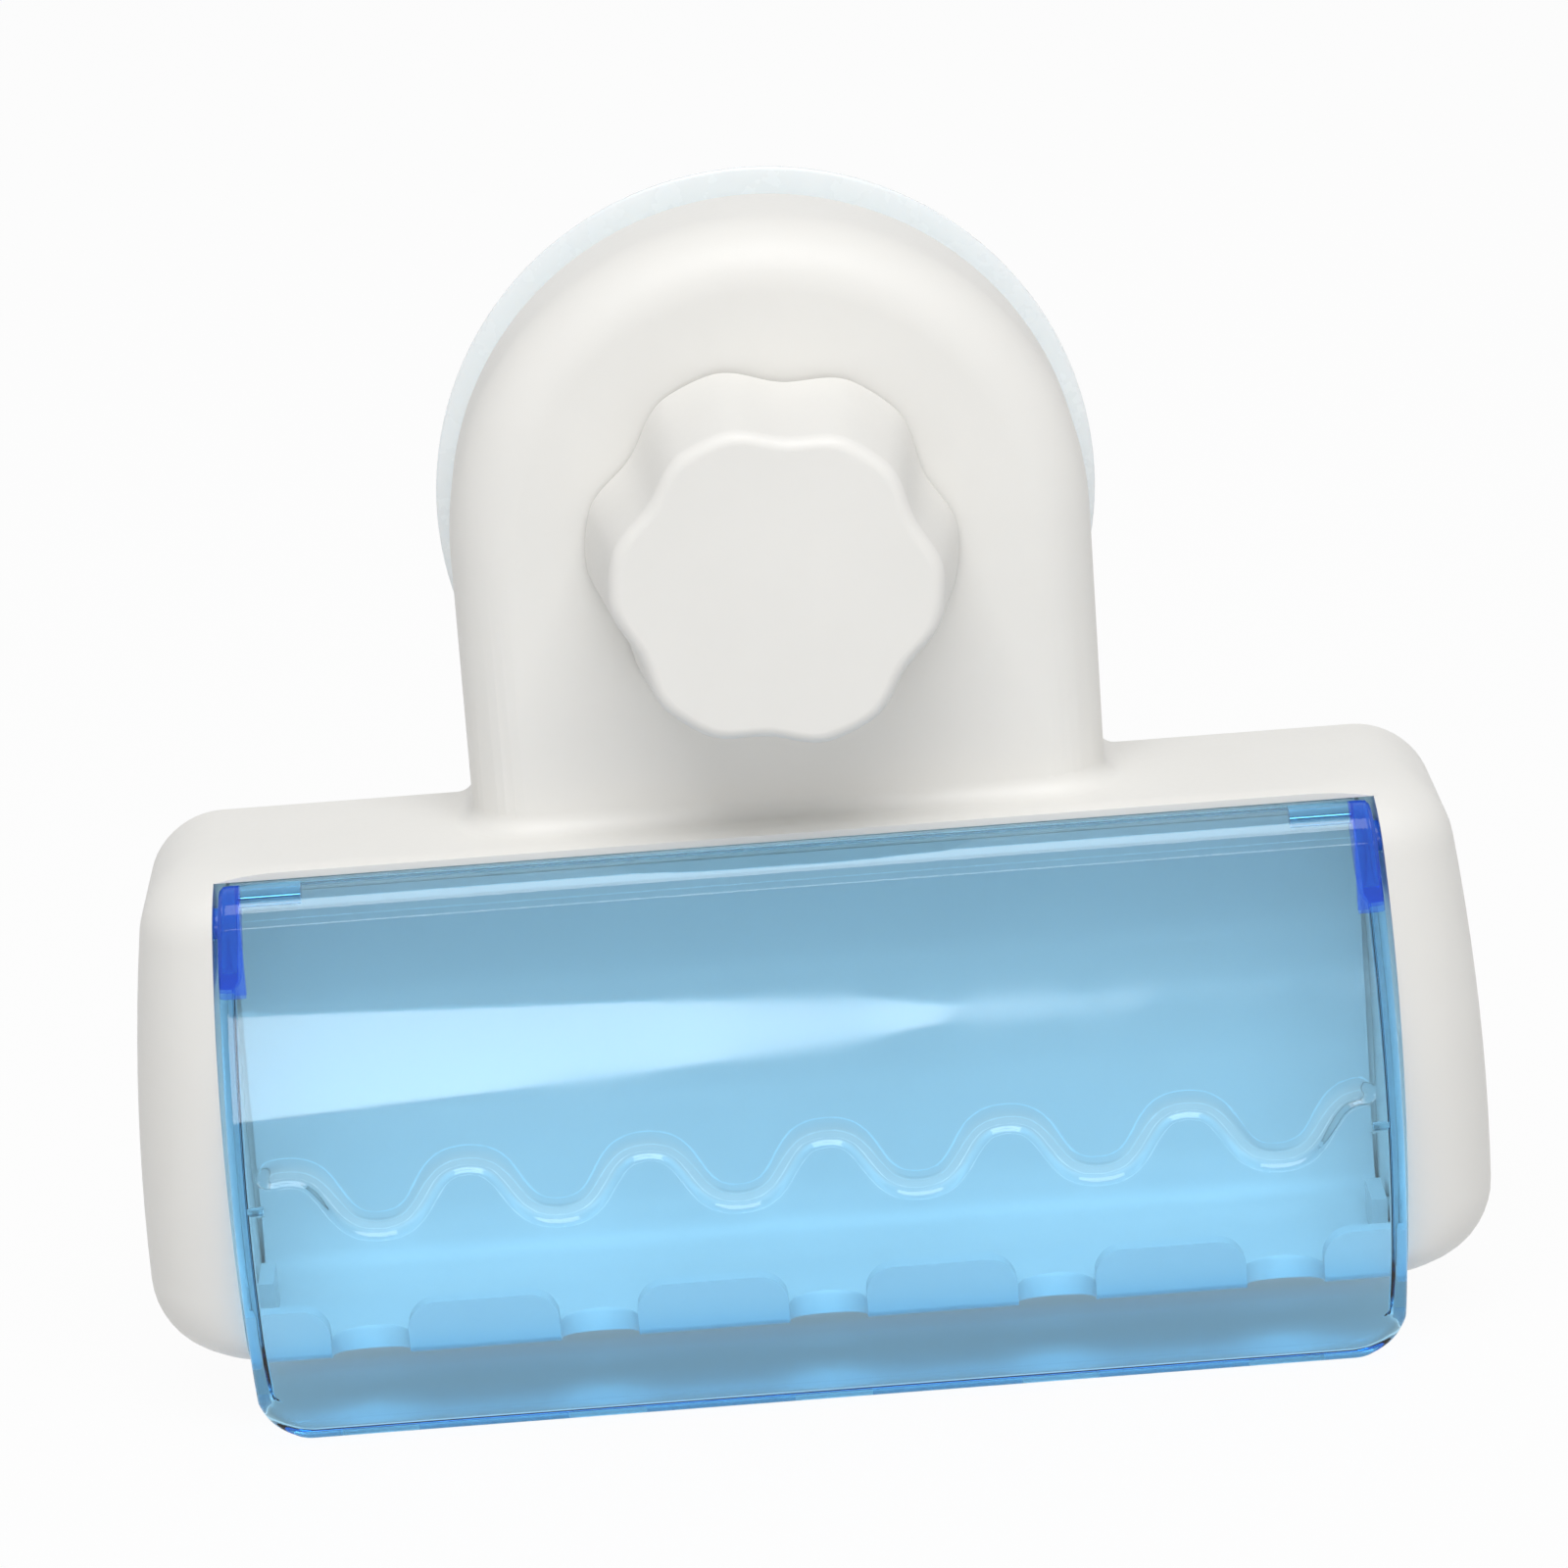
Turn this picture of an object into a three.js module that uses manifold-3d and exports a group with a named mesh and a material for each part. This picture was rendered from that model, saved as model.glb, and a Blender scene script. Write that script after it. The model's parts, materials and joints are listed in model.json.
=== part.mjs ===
// Wall toothbrush holder: a white moulded housing held by a screw-down suction cup,
// a comb rack for five brushes and a clear blue cover that flips up.
// Millimetres, +Z up. The wall is the plane y = 0, the front faces -Y, and the origin is the
// middle of the suction cup on the wall.
import * as THREE from "three";
import { mergeVertices } from "three/addons/utils/BufferGeometryUtils.js";
import Module from "manifold-3d";

const wasm = await Module();
wasm.setup();

// Driving dimensions
const CUP_R = 44.2; // suction cup
const BACK_Y = -8; // back plane of the housing, off the wall by the height of the cup
const WALL = 2.2; // moulded wall
const GAP = 0.3; // clearance between pieces that touch

const ARCH_R = 42; // arched upper half of the housing, round the cup's axis
const ARCH_FACE_Y = -29.5;
const ARCH_ROUND = 8.5; // rounded front edge of the arch
const FOOT_ROUND = 2.5; // hollow fillet where the arch stands on the box

const BOX_TOP_Z = -36.6;
const BOX_BOTTOM_Z = -105.4;
const BOX_TOP_HALF = 85.4; // half width at the top, before its corners are rounded
const BOX_LOW_HALF = 89.8; // half width at the bottom, before its corners are rounded
const BOX_BULGE_HALF = 91.2; // pulls the ends out into a shallow curve
const BOX_TOP_ROUND = 9;
const BOX_LOW_ROUND = 11;
const BOX_FRONT_Y = -41;
const BOX_BULGE_Y = -43.5;
const BOX_PLAN_ROUND = 12; // front corners seen from above
const BOX_BROW_ROUND = 7; // top front edge of the end caps
const BOX_CHIN_ROUND = 5; // bottom front edge of the end caps

const BAY_HALF = 75.9; // half width of the bay behind the cover, at its top
const ROOF = 1.4; // wall over the bay
const ROOF_FRONT_Y = -36.5;

const PIVOT_Y = -37.2; // cover hinge
const PIVOT_Z = -43.2;
const COVER_TOP_R = 4.8; // the cover's top edge is rolled round the hinge axis
const COVER_T = 1.8;
const COVER_HALF = 75.4; // half width at the top
const COVER_LIP_Z = -112.2;
const COVER_CORNER = 6;
const FLANGE_DEPTH = 3.4; // side walls of the cover, measured from its outer face
const FLANGE_T = 2;
const FLANGE_LOW_Z = -109;
const CHEEK_T = 2.6; // thick hinge ears at the cover's top corners
const CHEEK_LOW_Z = -51;
const CHEEK_BACK_Y = -30;
const PIN_R = 2;
const GUSSET_Z = -81; // small web between each flange and the panel
const GUSSET_T = 0.8;

const FLARE = 1.8; // the sides of the bay and of the cover bow out by this much
const FLARE_MID_Z = -80;
const FLARE_REACH = 42; // height above and below the middle where the bow starts and ends

const WAVE_LENGTH = 23.65; // wavy groove in the cover's face
const WAVE_HEIGHT = 4.05;
const WAVE_Z = -79.7;
const WAVE_SHIFT = 1.3;
const WAVE_HALF = 71.5;
const WAVE_BAND = 1.6; // half width of the bead that cuts it
const WAVE_BEAD = 1; // half depth of that bead

const SLOTS = 5;
const SLOT_PITCH = 30.5;
const SLOT_W = 10.4;
const SLOT_BACK_Y = -32.5;
const RACK_HALF = 76.6;
const RACK_FRONT_Y = -40;
const RACK_T = 2.4;
const LINER_TOP_Z = -46; // thin plate of the rack that lines the back of the bay
const LINER_T = 1.2;
const COVE_TOP_Z = -93; // hollow sweep from the liner into the rack's floor
const COVE_REACH = 10;
const RACK_EDGE_ROUND = 1.5;
const TOOTH_TOP_Z = -97;
const TOOTH_ROUND = 3;
const PEG_R = 1.6;

const STUD_R = 6; // threaded post moulded into the cup
const STUD_FLAT = 4.9; // half width across its two flats
const STUD_TIP_Y = -44;
const STUD_HEAD_R = 9;
const HUB_R = 12.5;
const HUB_TOP_Y = -13;

const KNOB_BASE_Y = -30;
const KNOB_FACE_Y = -52;
const KNOB_BASE_R = 24.3;
const KNOB_FACE_R = 21.2;
const KNOB_LOBES = 6;
const KNOB_TURN = THREE.MathUtils.degToRad(-7); // how the knob happens to stand
const SCALLOP_HALF = THREE.MathUtils.degToRad(23);
const SCALLOP_BASE = 2.3;
const SCALLOP_FACE = 1.7;
const KNOB_EDGE = 1.6;
const KNOB_BOSS_R = 13.2;
const NUT_HALF_FLATS = 9.5;
const NUT_BACK_Y = -33.5;
const NUT_FRONT_Y = -41.5;
const WASHER_T = 1.4;

const FAR = 200; // longer than anything here
const ROUND_STEPS = 48;

// Turning a closed geometry into a solid that can be joined and cut, and back
function solid(geometry) {
  const bare = geometry.clone();
  bare.deleteAttribute("normal");
  bare.deleteAttribute("uv");
  const merged = mergeVertices(bare, 1e-4);
  const corners = merged.index.array;
  const triangles = [];
  for (let i = 0; i < corners.length; i += 3) {
    const [a, b, c] = corners.slice(i, i + 3);
    if (a !== b && b !== c && c !== a) triangles.push(a, b, c);
  }
  return new wasm.Manifold(
    new wasm.Mesh({
      numProp: 3,
      vertProperties: new Float32Array(merged.attributes.position.array),
      triVerts: new Uint32Array(triangles),
    }),
  );
}

function geometryOf(body) {
  const mesh = body.getMesh();
  const geometry = new THREE.BufferGeometry()
    .setAttribute("position", new THREE.BufferAttribute(mesh.vertProperties, 3))
    .setIndex(new THREE.BufferAttribute(mesh.triVerts, 1));
  geometry.computeVertexNormals();
  return geometry;
}

const join = (...bodies) => bodies.reduce((a, b) => a.add(b));
const cut = (body, ...tools) => tools.reduce((a, b) => a.subtract(b), body);
const common = (...bodies) => bodies.reduce((a, b) => a.intersect(b));

// A block between two corners
function block(x0, x1, y0, y1, z0, z1) {
  return solid(
    new THREE.BoxGeometry(x1 - x0, y1 - y0, z1 - z0).translate((x0 + x1) / 2, (y0 + y1) / 2, (z0 + z1) / 2),
  );
}

// Extrusions: an outline drawn in (x, z) towards the viewer, one in (y, z) along X, one in (x, y) up Z
function frontward(outline, yBack, depth, options = {}) {
  const settings = { depth, bevelEnabled: false, curveSegments: 10, ...options };
  return solid(new THREE.ExtrudeGeometry(outline, settings).rotateX(Math.PI / 2).translate(0, yBack, 0));
}

function sideways(outline, x0, x1, curveSegments = 10) {
  const settings = { depth: x1 - x0, bevelEnabled: false, curveSegments };
  const turn = new THREE.Matrix4().makeBasis(
    new THREE.Vector3(0, 1, 0),
    new THREE.Vector3(0, 0, 1),
    new THREE.Vector3(1, 0, 0),
  );
  return solid(new THREE.ExtrudeGeometry(outline, settings).applyMatrix4(turn).translate(x0, 0, 0));
}

function upward(outline, z0, z1, curveSegments = 10) {
  const settings = { depth: z1 - z0, bevelEnabled: false, curveSegments };
  return solid(new THREE.ExtrudeGeometry(outline, settings).translate(0, 0, z0));
}

// A closed profile of [radius, y] corners turned round the Y axis
function revolved(profile, steps = ROUND_STEPS) {
  const corners = profile.map(([r, y]) => new THREE.Vector2(r, y));
  if (THREE.ShapeUtils.area(corners) < 0) corners.reverse();
  return solid(new THREE.LatheGeometry([...corners, corners[0]], steps));
}

// The two ends of a length along X on the left (-1) or right (1) side, in rising order
const span = (side, near, far) => [side * near, side * far].sort((a, b) => a - b);

// A straight round bar along X
function barAlongX(radius, x0, x1, y, z, steps = 20) {
  const bar = new THREE.CylinderGeometry(radius, radius, x1 - x0, steps).rotateZ(Math.PI / 2);
  return solid(bar.translate((x0 + x1) / 2, y, z));
}

// A straight round bar along Y
function barAlongY(radius, yBack, yFront, steps = 40) {
  return revolved([[0, yBack], [radius, yBack], [radius, yFront], [0, yFront]], steps);
}

// A closed skin through rings of points that all have the same count
function loft(rings) {
  const count = rings[0].length;
  const points = rings.flat();
  const triangles = [];
  for (let ring = 0; ring + 1 < rings.length; ring++) {
    for (let i = 0; i < count; i++) {
      const a = ring * count + i;
      const b = ring * count + ((i + 1) % count);
      triangles.push(a, b, b + count, a, b + count, a + count);
    }
  }
  for (const [ring, flip] of [[0, true], [rings.length - 1, false]]) {
    const middle = points.push(rings[ring].reduce((s, p) => s.clone().add(p)).divideScalar(count)) - 1;
    for (let i = 0; i < count; i++) {
      const a = ring * count + i;
      const b = ring * count + ((i + 1) % count);
      triangles.push(...(flip ? [b, a, middle] : [a, b, middle]));
    }
  }
  return solid(new THREE.BufferGeometry().setFromPoints(points).setIndex(triangles));
}

// Box: level sections with round front corners, stacked from the bottom to the top. inset draws the
// skin inwards, which gives the hollow of the end caps.
const easedIn = (depth, round) => (depth < round ? round - Math.sqrt(round ** 2 - (round - depth) ** 2) : 0);
const bowed = (t, from, pull, to) => (1 - t) ** 2 * from + 2 * t * (1 - t) * pull + t ** 2 * to;

function box(inset, yBack) {
  const top = BOX_TOP_Z - inset;
  const low = BOX_BOTTOM_Z + inset;
  const section = (z) => {
    const t = (BOX_TOP_Z - z) / (BOX_TOP_Z - BOX_BOTTOM_Z);
    const brow = easedIn(top - z, BOX_BROW_ROUND - inset);
    const chin = easedIn(z - low, BOX_CHIN_ROUND - inset);
    const shoulder = easedIn(top - z, BOX_TOP_ROUND - inset);
    const heel = easedIn(z - low, BOX_LOW_ROUND - inset);
    const half = bowed(t, BOX_TOP_HALF, BOX_BULGE_HALF, BOX_LOW_HALF) - inset - shoulder - heel;
    const front = bowed(t, BOX_FRONT_Y, BOX_BULGE_Y, BOX_FRONT_Y) + inset + brow + chin;
    return roundedFront(half, front, BOX_PLAN_ROUND - inset, yBack, z);
  };
  const levels = [];
  const [lowSteps, middleSteps, topSteps] = [8, 6, 7];
  for (let i = 0; i <= lowSteps; i++) {
    levels.push(low + (BOX_LOW_ROUND - inset) * (1 - Math.cos((i / lowSteps) * (Math.PI / 2))));
  }
  for (let i = 1; i < middleSteps; i++) {
    levels.push(THREE.MathUtils.lerp(low + BOX_LOW_ROUND, top - BOX_TOP_ROUND, i / middleSteps));
  }
  for (let i = 0; i <= topSteps; i++) {
    levels.push(top - (BOX_TOP_ROUND - inset) * (1 - Math.sin((i / topSteps) * (Math.PI / 2))));
  }
  return loft(levels.map(section));
}

// A level section, straight at the back and with two round corners at the front
function roundedFront(half, front, round, yBack, z) {
  const perCorner = 8;
  const ring = [new THREE.Vector3(half, yBack, z), new THREE.Vector3(-half, yBack, z)];
  for (const [side, from] of [[-1, Math.PI], [1, 1.5 * Math.PI]]) {
    for (let i = 0; i <= perCorner; i++) {
      const angle = from + (i / perCorner) * (Math.PI / 2);
      const x = side * (half - round) + round * Math.cos(angle);
      ring.push(new THREE.Vector3(x, front + round + round * Math.sin(angle), z));
    }
  }
  return ring;
}

// How far the bay's walls and the cover's edges bow out at a height
const flare = (z) => FLARE * Math.max(0, 1 - ((z - FLARE_MID_Z) / FLARE_REACH) ** 2);

// A front outline with bowed sides and round bottom corners
function flaredOutline(half, topZ, lowZ, round = 1) {
  const steps = 12;
  const lowHalf = half + flare(lowZ + round);
  const side = [[half, topZ]];
  for (let i = 0; i <= steps; i++) {
    const z = FLARE_MID_Z + FLARE_REACH * (1 - (2 * i) / steps);
    if (z < topZ && z > lowZ + round) side.push([half + flare(z), z]);
  }
  const outline = new THREE.Shape().moveTo(...side[0]);
  for (const [x, z] of side) outline.lineTo(-x, z);
  outline.absarc(-lowHalf + round, lowZ + round, round, Math.PI, 1.5 * Math.PI, false);
  outline.absarc(lowHalf - round, lowZ + round, round, 1.5 * Math.PI, 2 * Math.PI, false);
  for (const [x, z] of side.reverse()) outline.lineTo(x, z);
  return outline;
}

// Arch: a half round on straight legs that run down into the box, with a rounded front edge
function archOutline(inset, footZ) {
  const half = ARCH_R - inset;
  return new THREE.Shape()
    .moveTo(half, footZ)
    .lineTo(half, 0)
    .absarc(0, 0, half, 0, Math.PI, false)
    .lineTo(-half, footZ)
    .closePath();
}

function arch(inset, bevelSegments, curveSegments) {
  const round = ARCH_ROUND - inset;
  const start = 20;
  const options = {
    bevelEnabled: true,
    bevelThickness: round,
    bevelSize: round,
    bevelOffset: -round,
    bevelSegments,
    curveSegments,
  };
  const straight = start - (ARCH_FACE_Y + inset) - round;
  return frontward(archOutline(inset, 2 * BOX_TOP_Z), start, straight, options);
}

// The hollow fillet round the foot of the arch, stacked from ever narrower sections
function archFoot() {
  const steps = 5;
  const section = (spread, z) =>
    roundedFront(ARCH_R + spread, ARCH_FACE_Y - spread, ARCH_ROUND + spread, BACK_Y, z);
  const rings = [section(FOOT_ROUND, BOX_TOP_Z - 1)];
  for (let i = 0; i <= steps; i++) {
    const angle = (i / steps) * (Math.PI / 2);
    rings.push(section(FOOT_ROUND * (1 - Math.sin(angle)), BOX_TOP_Z + FOOT_ROUND * (1 - Math.cos(angle))));
  }
  return loft(rings);
}

// Stiffening inside the arch: a ring that bears on the press disc, a guide for the stud, and webs
// between them
function archStiffening() {
  const ringOuter = 36.2;
  const ringInner = ringOuter - WALL;
  const guideR = 10;
  const guideBackY = -18.5;
  const webBackY = -21;
  const webs = 6;
  const faceY = ARCH_FACE_Y + 1;
  const ring = revolved([[ringInner, BACK_Y], [ringOuter, BACK_Y], [ringOuter, faceY], [ringInner, faceY]]);
  const guide = barAlongY(guideR, guideBackY, faceY);
  const web = () => new THREE.BoxGeometry(ringInner - guideR + 1.5, webBackY - faceY, 1.8);
  const pattern = Array.from({ length: webs }, (_, i) =>
    solid(
      web()
        .translate((ringInner + guideR) / 2, (webBackY + faceY) / 2, 0)
        .rotateY((i + 0.5) * ((2 * Math.PI) / webs)),
    ),
  );
  return join(ring, guide, ...pattern);
}

// The stud's section: a round with two flats, so that it slides without turning
function studSection(clearance) {
  const round = new THREE.Shape().absarc(0, 0, STUD_R + clearance, 0, 2 * Math.PI, false);
  const flat = STUD_FLAT + clearance;
  const long = frontward(round, FAR, 2 * FAR, { curveSegments: 40 });
  return common(long, block(-flat, flat, -FAR, FAR, -FAR, FAR));
}

function housing() {
  const bayBackY = BACK_Y - WALL;
  const roofLowZ = BOX_TOP_Z - ROOF;
  const behind = block(-FAR, FAR, BACK_Y, FAR, -FAR, FAR);
  const skin = cut(join(box(0, BACK_Y), arch(0, 5, 30), archFoot()), behind);
  const bay = frontward(flaredOutline(BAY_HALF, roofLowZ, -FAR), bayBackY, FAR);
  const mouth = frontward(flaredOutline(BAY_HALF, BOX_TOP_Z + 1, -FAR), ROOF_FRONT_Y, FAR);
  const between = frontward(flaredOutline(BAY_HALF + WALL, FAR, -FAR), FAR, 2 * FAR);
  const pockets = cut(box(WALL, 1), between);
  const hollow = cut(arch(WALL, 3, 18), block(-FAR, FAR, -FAR, FAR, -FAR, BOX_TOP_Z));
  const shell = join(cut(skin, bay, mouth, pockets, hollow), archStiffening());
  const holes = [-1, 1].flatMap((side) => [
    barAlongX(PIN_R + GAP, ...span(side, BAY_HALF - 1, BAY_HALF + FLARE + WALL), PIVOT_Y, PIVOT_Z),
    barAlongX(PEG_R + GAP, ...span(side, BAY_HALF - 1, BAY_HALF + FLARE + WALL), ...rackPeg()),
  ]);
  return cut(shell, studSection(0.5), ...holes);
}

// Rack: floor, front teeth and a back liner in one section, slotted for the brushes
const rackPeg = () => [-24, BOX_BOTTOM_Z + 5];
const slotPlaces = () => Array.from({ length: SLOTS }, (_, i) => (i - (SLOTS - 1) / 2) * SLOT_PITCH);

function rackSection() {
  const backY = BACK_Y - WALL - GAP;
  const floorZ = BOX_BOTTOM_Z + RACK_T;
  const round = RACK_EDGE_ROUND;
  return new THREE.Shape()
    .moveTo(backY, BOX_BOTTOM_Z)
    .lineTo(backY, LINER_TOP_Z)
    .lineTo(backY - LINER_T, LINER_TOP_Z)
    .lineTo(backY - LINER_T, COVE_TOP_Z)
    .quadraticCurveTo(backY - LINER_T, floorZ, backY - COVE_REACH, floorZ)
    .lineTo(RACK_FRONT_Y + RACK_T, floorZ)
    .lineTo(RACK_FRONT_Y + RACK_T, TOOTH_TOP_Z)
    .lineTo(RACK_FRONT_Y, TOOTH_TOP_Z)
    .absarc(RACK_FRONT_Y + round, BOX_BOTTOM_Z + round, round, Math.PI, 1.5 * Math.PI, false)
    .closePath();
}

// One slot: a U cut back from the front edge, flared at the top so that the teeth have round shoulders
function slotCutter(x) {
  const half = SLOT_W / 2;
  const top = TOOTH_TOP_Z;
  const wide = half + TOOTH_ROUND;
  const throat = new THREE.Shape()
    .moveTo(x - half, RACK_FRONT_Y - 5)
    .lineTo(x + half, RACK_FRONT_Y - 5)
    .absarc(x, SLOT_BACK_Y - half, half, 0, Math.PI, false)
    .closePath();
  const shoulders = new THREE.Shape()
    .moveTo(x + wide, top + 1)
    .lineTo(x - wide, top + 1)
    .absarc(x - wide, top - TOOTH_ROUND, TOOTH_ROUND, Math.PI / 2, 0, true)
    .absarc(x + wide, top - TOOTH_ROUND, TOOTH_ROUND, Math.PI, Math.PI / 2, true)
    .closePath();
  const tooth = frontward(shoulders, RACK_FRONT_Y + RACK_T + 1, RACK_T + 5, { curveSegments: 5 });
  return join(upward(throat, BOX_BOTTOM_Z - 5, TOOTH_TOP_Z + 1), tooth);
}

function brushRack() {
  const sides = frontward(flaredOutline(BAY_HALF - 0.5, 0, -FAR), FAR, 2 * FAR);
  const bar = common(sideways(rackSection(), -RACK_HALF, RACK_HALF, 6), sides);
  const [pegY, pegZ] = rackPeg();
  const ends = [-1, 1].flatMap((side) => [
    block(...span(side, RACK_HALF - RACK_T, RACK_HALF), pegY - 4, pegY + 4, BOX_BOTTOM_Z + 1, pegZ + 3),
    barAlongX(PEG_R, ...span(side, RACK_HALF - 1, BAY_HALF + FLARE + 1.4), pegY, pegZ),
  ]);
  return cut(join(bar, ...ends), ...slotPlaces().map(slotCutter));
}

// Cover: the front sweep as one curve, which the panel, the side flanges and the groove all follow
const coverSweep = new THREE.CubicBezierCurve(
  new THREE.Vector2(PIVOT_Y - COVER_TOP_R, PIVOT_Z),
  new THREE.Vector2(PIVOT_Y - COVER_TOP_R, -60),
  new THREE.Vector2(-50.5, -92),
  new THREE.Vector2(-45.6, COVER_LIP_Z),
);

function coverFrontAt(z) {
  let low = 0;
  let high = 1;
  for (let i = 0; i < 30; i++) {
    const middle = (low + high) / 2;
    if (coverSweep.getPoint(middle).y > z) low = middle;
    else high = middle;
  }
  return coverSweep.getPoint(low).x;
}

// The cover's section from its rolled top edge down the sweep, with the given thickness
function coverSection(thickness, topFrom) {
  const { v0, v1, v2, v3 } = coverSweep;
  const inner = Math.max(COVER_TOP_R - thickness, 0.5);
  return new THREE.Shape()
    .moveTo(PIVOT_Y + COVER_TOP_R * Math.cos(topFrom), PIVOT_Z + COVER_TOP_R * Math.sin(topFrom))
    .absarc(PIVOT_Y, PIVOT_Z, COVER_TOP_R, topFrom, Math.PI, false)
    .bezierCurveTo(v1.x, v1.y, v2.x, v2.y, v3.x, v3.y)
    .quadraticCurveTo(v3.x + thickness / 2, v3.y - 0.9, v3.x + thickness, v3.y)
    .bezierCurveTo(v2.x + thickness, v2.y, v1.x + thickness, v1.y, v0.x + thickness, v0.y)
    .absarc(PIVOT_Y, PIVOT_Z, inner, Math.PI, topFrom, true)
    .closePath();
}

const coverOutline = (inset) =>
  frontward(flaredOutline(COVER_HALF - inset, FAR, COVER_LIP_Z - 1 - 2 * inset, COVER_CORNER), 0, FAR);

// Both ends of a section that runs right across the cover, kept only where the cover's sides are
function coverSides(section, thickness) {
  return cut(common(sideways(section, -FAR, FAR, 8), coverOutline(0)), coverOutline(thickness));
}

// Side flanges: the sweep with a deep section, from the hinge ears down to just above the lip
function coverFlanges() {
  const { v0, v1, v2, v3 } = coverSweep;
  const [outer, inner] = [0.4, FLANGE_DEPTH];
  const section = new THREE.Shape()
    .moveTo(v0.x + outer, v0.y)
    .bezierCurveTo(v1.x + outer, v1.y, v2.x + outer, v2.y, v3.x + outer, v3.y)
    .lineTo(v3.x + inner, v3.y)
    .bezierCurveTo(v2.x + inner, v2.y, v1.x + inner, v1.y, v0.x + inner, v0.y)
    .closePath();
  return cut(coverSides(section, FLANGE_T), block(-FAR, FAR, -FAR, FAR, -FAR, FLANGE_LOW_Z));
}

// Thick hinge ears round the pivot
function coverEars() {
  const from = THREE.MathUtils.degToRad(50);
  const startY = PIVOT_Y + COVER_TOP_R * Math.cos(from);
  const startZ = PIVOT_Z + COVER_TOP_R * Math.sin(from);
  const frontY = PIVOT_Y - COVER_TOP_R;
  const section = new THREE.Shape()
    .moveTo(startY, startZ)
    .absarc(PIVOT_Y, PIVOT_Z, COVER_TOP_R, from, Math.PI, false)
    .lineTo(frontY, CHEEK_LOW_Z)
    .lineTo(frontY + 7, CHEEK_LOW_Z - 1)
    .quadraticCurveTo(CHEEK_BACK_Y, CHEEK_LOW_Z - 1, CHEEK_BACK_Y, PIVOT_Z - 2)
    .quadraticCurveTo(CHEEK_BACK_Y, PIVOT_Z + 1.3, startY, startZ)
    .closePath();
  return coverSides(section, CHEEK_T);
}

// On one side: the pivot stub, the short rib that ties the ear to the rolled top edge, and the gusset
function coverDetails(side) {
  const [ribFrom, ribTo] = [60, 150].map(THREE.MathUtils.degToRad);
  const ribLength = 8;
  const section = new THREE.Shape()
    .absarc(PIVOT_Y, PIVOT_Z, COVER_TOP_R - 0.4, ribFrom, ribTo, false)
    .absarc(PIVOT_Y, PIVOT_Z, 1.6, ribTo, ribFrom, true)
    .closePath();
  const rib = sideways(section, ...span(side, COVER_HALF - CHEEK_T - ribLength, COVER_HALF - 1), 6);
  const pinEnd = BAY_HALF + flare(PIVOT_Z) + WALL - GAP;
  const pin = barAlongX(PIN_R, ...span(side, COVER_HALF - 1, pinEnd), PIVOT_Y, PIVOT_Z);
  const edge = COVER_HALF + flare(GUSSET_Z) - 0.4;
  const frontY = coverFrontAt(GUSSET_Z);
  const gusset = block(
    ...span(side, edge - FLANGE_T - 1.5, edge),
    frontY + 0.5,
    frontY + FLANGE_DEPTH - 0.3,
    GUSSET_Z - GUSSET_T / 2,
    GUSSET_Z + GUSSET_T / 2,
  );
  return join(rib, pin, gusset);
}

// The wavy groove: a flat bead that follows the sweep, mostly in front of the panel
function waveCutter() {
  const proud = 0.45;
  const steps = 66;
  const sides = 6;
  const points = Array.from({ length: steps + 1 }, (_, i) => {
    const x = -WAVE_HALF + (2 * WAVE_HALF * i) / steps;
    const z = WAVE_Z + WAVE_HEIGHT * Math.cos((2 * Math.PI * (x - WAVE_SHIFT)) / WAVE_LENGTH);
    return new THREE.Vector3(x, coverFrontAt(z) - proud, z);
  });
  const corners = Array.from({ length: sides }, (_, i) => {
    const angle = (2 * Math.PI * i) / sides;
    return new THREE.Vector2(WAVE_BEAD * Math.cos(angle), WAVE_BAND * Math.sin(angle));
  });
  const settings = { steps, extrudePath: new THREE.CatmullRomCurve3(points), bevelEnabled: false };
  return solid(new THREE.ExtrudeGeometry(new THREE.Shape(corners), settings));
}

function flipCover() {
  const sheet = sideways(coverSection(COVER_T, THREE.MathUtils.degToRad(50)), -FAR, FAR, 11);
  const panel = common(sheet, coverOutline(0));
  return cut(join(panel, coverFlanges(), coverEars(), coverDetails(-1), coverDetails(1)), waveCutter());
}

// Suction cup: a shallow dish with a flat sealing rim, and a hub moulded round the stud's head
const STUD_HEAD = { backY: -6, frontY: -9 };

// The cup's back from its edge to the foot of the hub, moved out by a clearance
function cupBack(clearance) {
  const back = [[CUP_R, -1.6], [40, -2.3], [36, -2.6], [28, -3.6], [20, -4.4], [15, -4.8]];
  return back.map(([r, y]) => [r, y - clearance]);
}

function suctionCup() {
  const inside = [[0, -2.8], [10, -2.7], [20, -2.0], [30, -0.9], [36, 0]];
  const edge = [[CUP_R - 0.5, 0], [CUP_R, -0.5]];
  const hub = [[HUB_R, -6.2], [HUB_R, HUB_TOP_Y + 1], [HUB_R - 1, HUB_TOP_Y], [0, HUB_TOP_Y]];
  const dish = revolved([...inside, ...edge, ...cupBack(0), ...hub]);
  const headRoom = barAlongY(STUD_HEAD_R + GAP, STUD_HEAD.backY + GAP, STUD_HEAD.frontY - GAP);
  return cut(dish, headRoom, barAlongY(STUD_R + GAP, STUD_HEAD.frontY, HUB_TOP_Y - 1));
}

function cupStud() {
  const head = barAlongY(STUD_HEAD_R, STUD_HEAD.backY, STUD_HEAD.frontY);
  const root = STUD_HEAD.frontY + 1;
  const stem = revolved(
    [[0, root], [STUD_R, root], [STUD_R, STUD_TIP_Y + 1], [STUD_R - 1, STUD_TIP_Y], [0, STUD_TIP_Y]],
    40,
  );
  return join(head, common(stem, studSection(0)));
}

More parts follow.
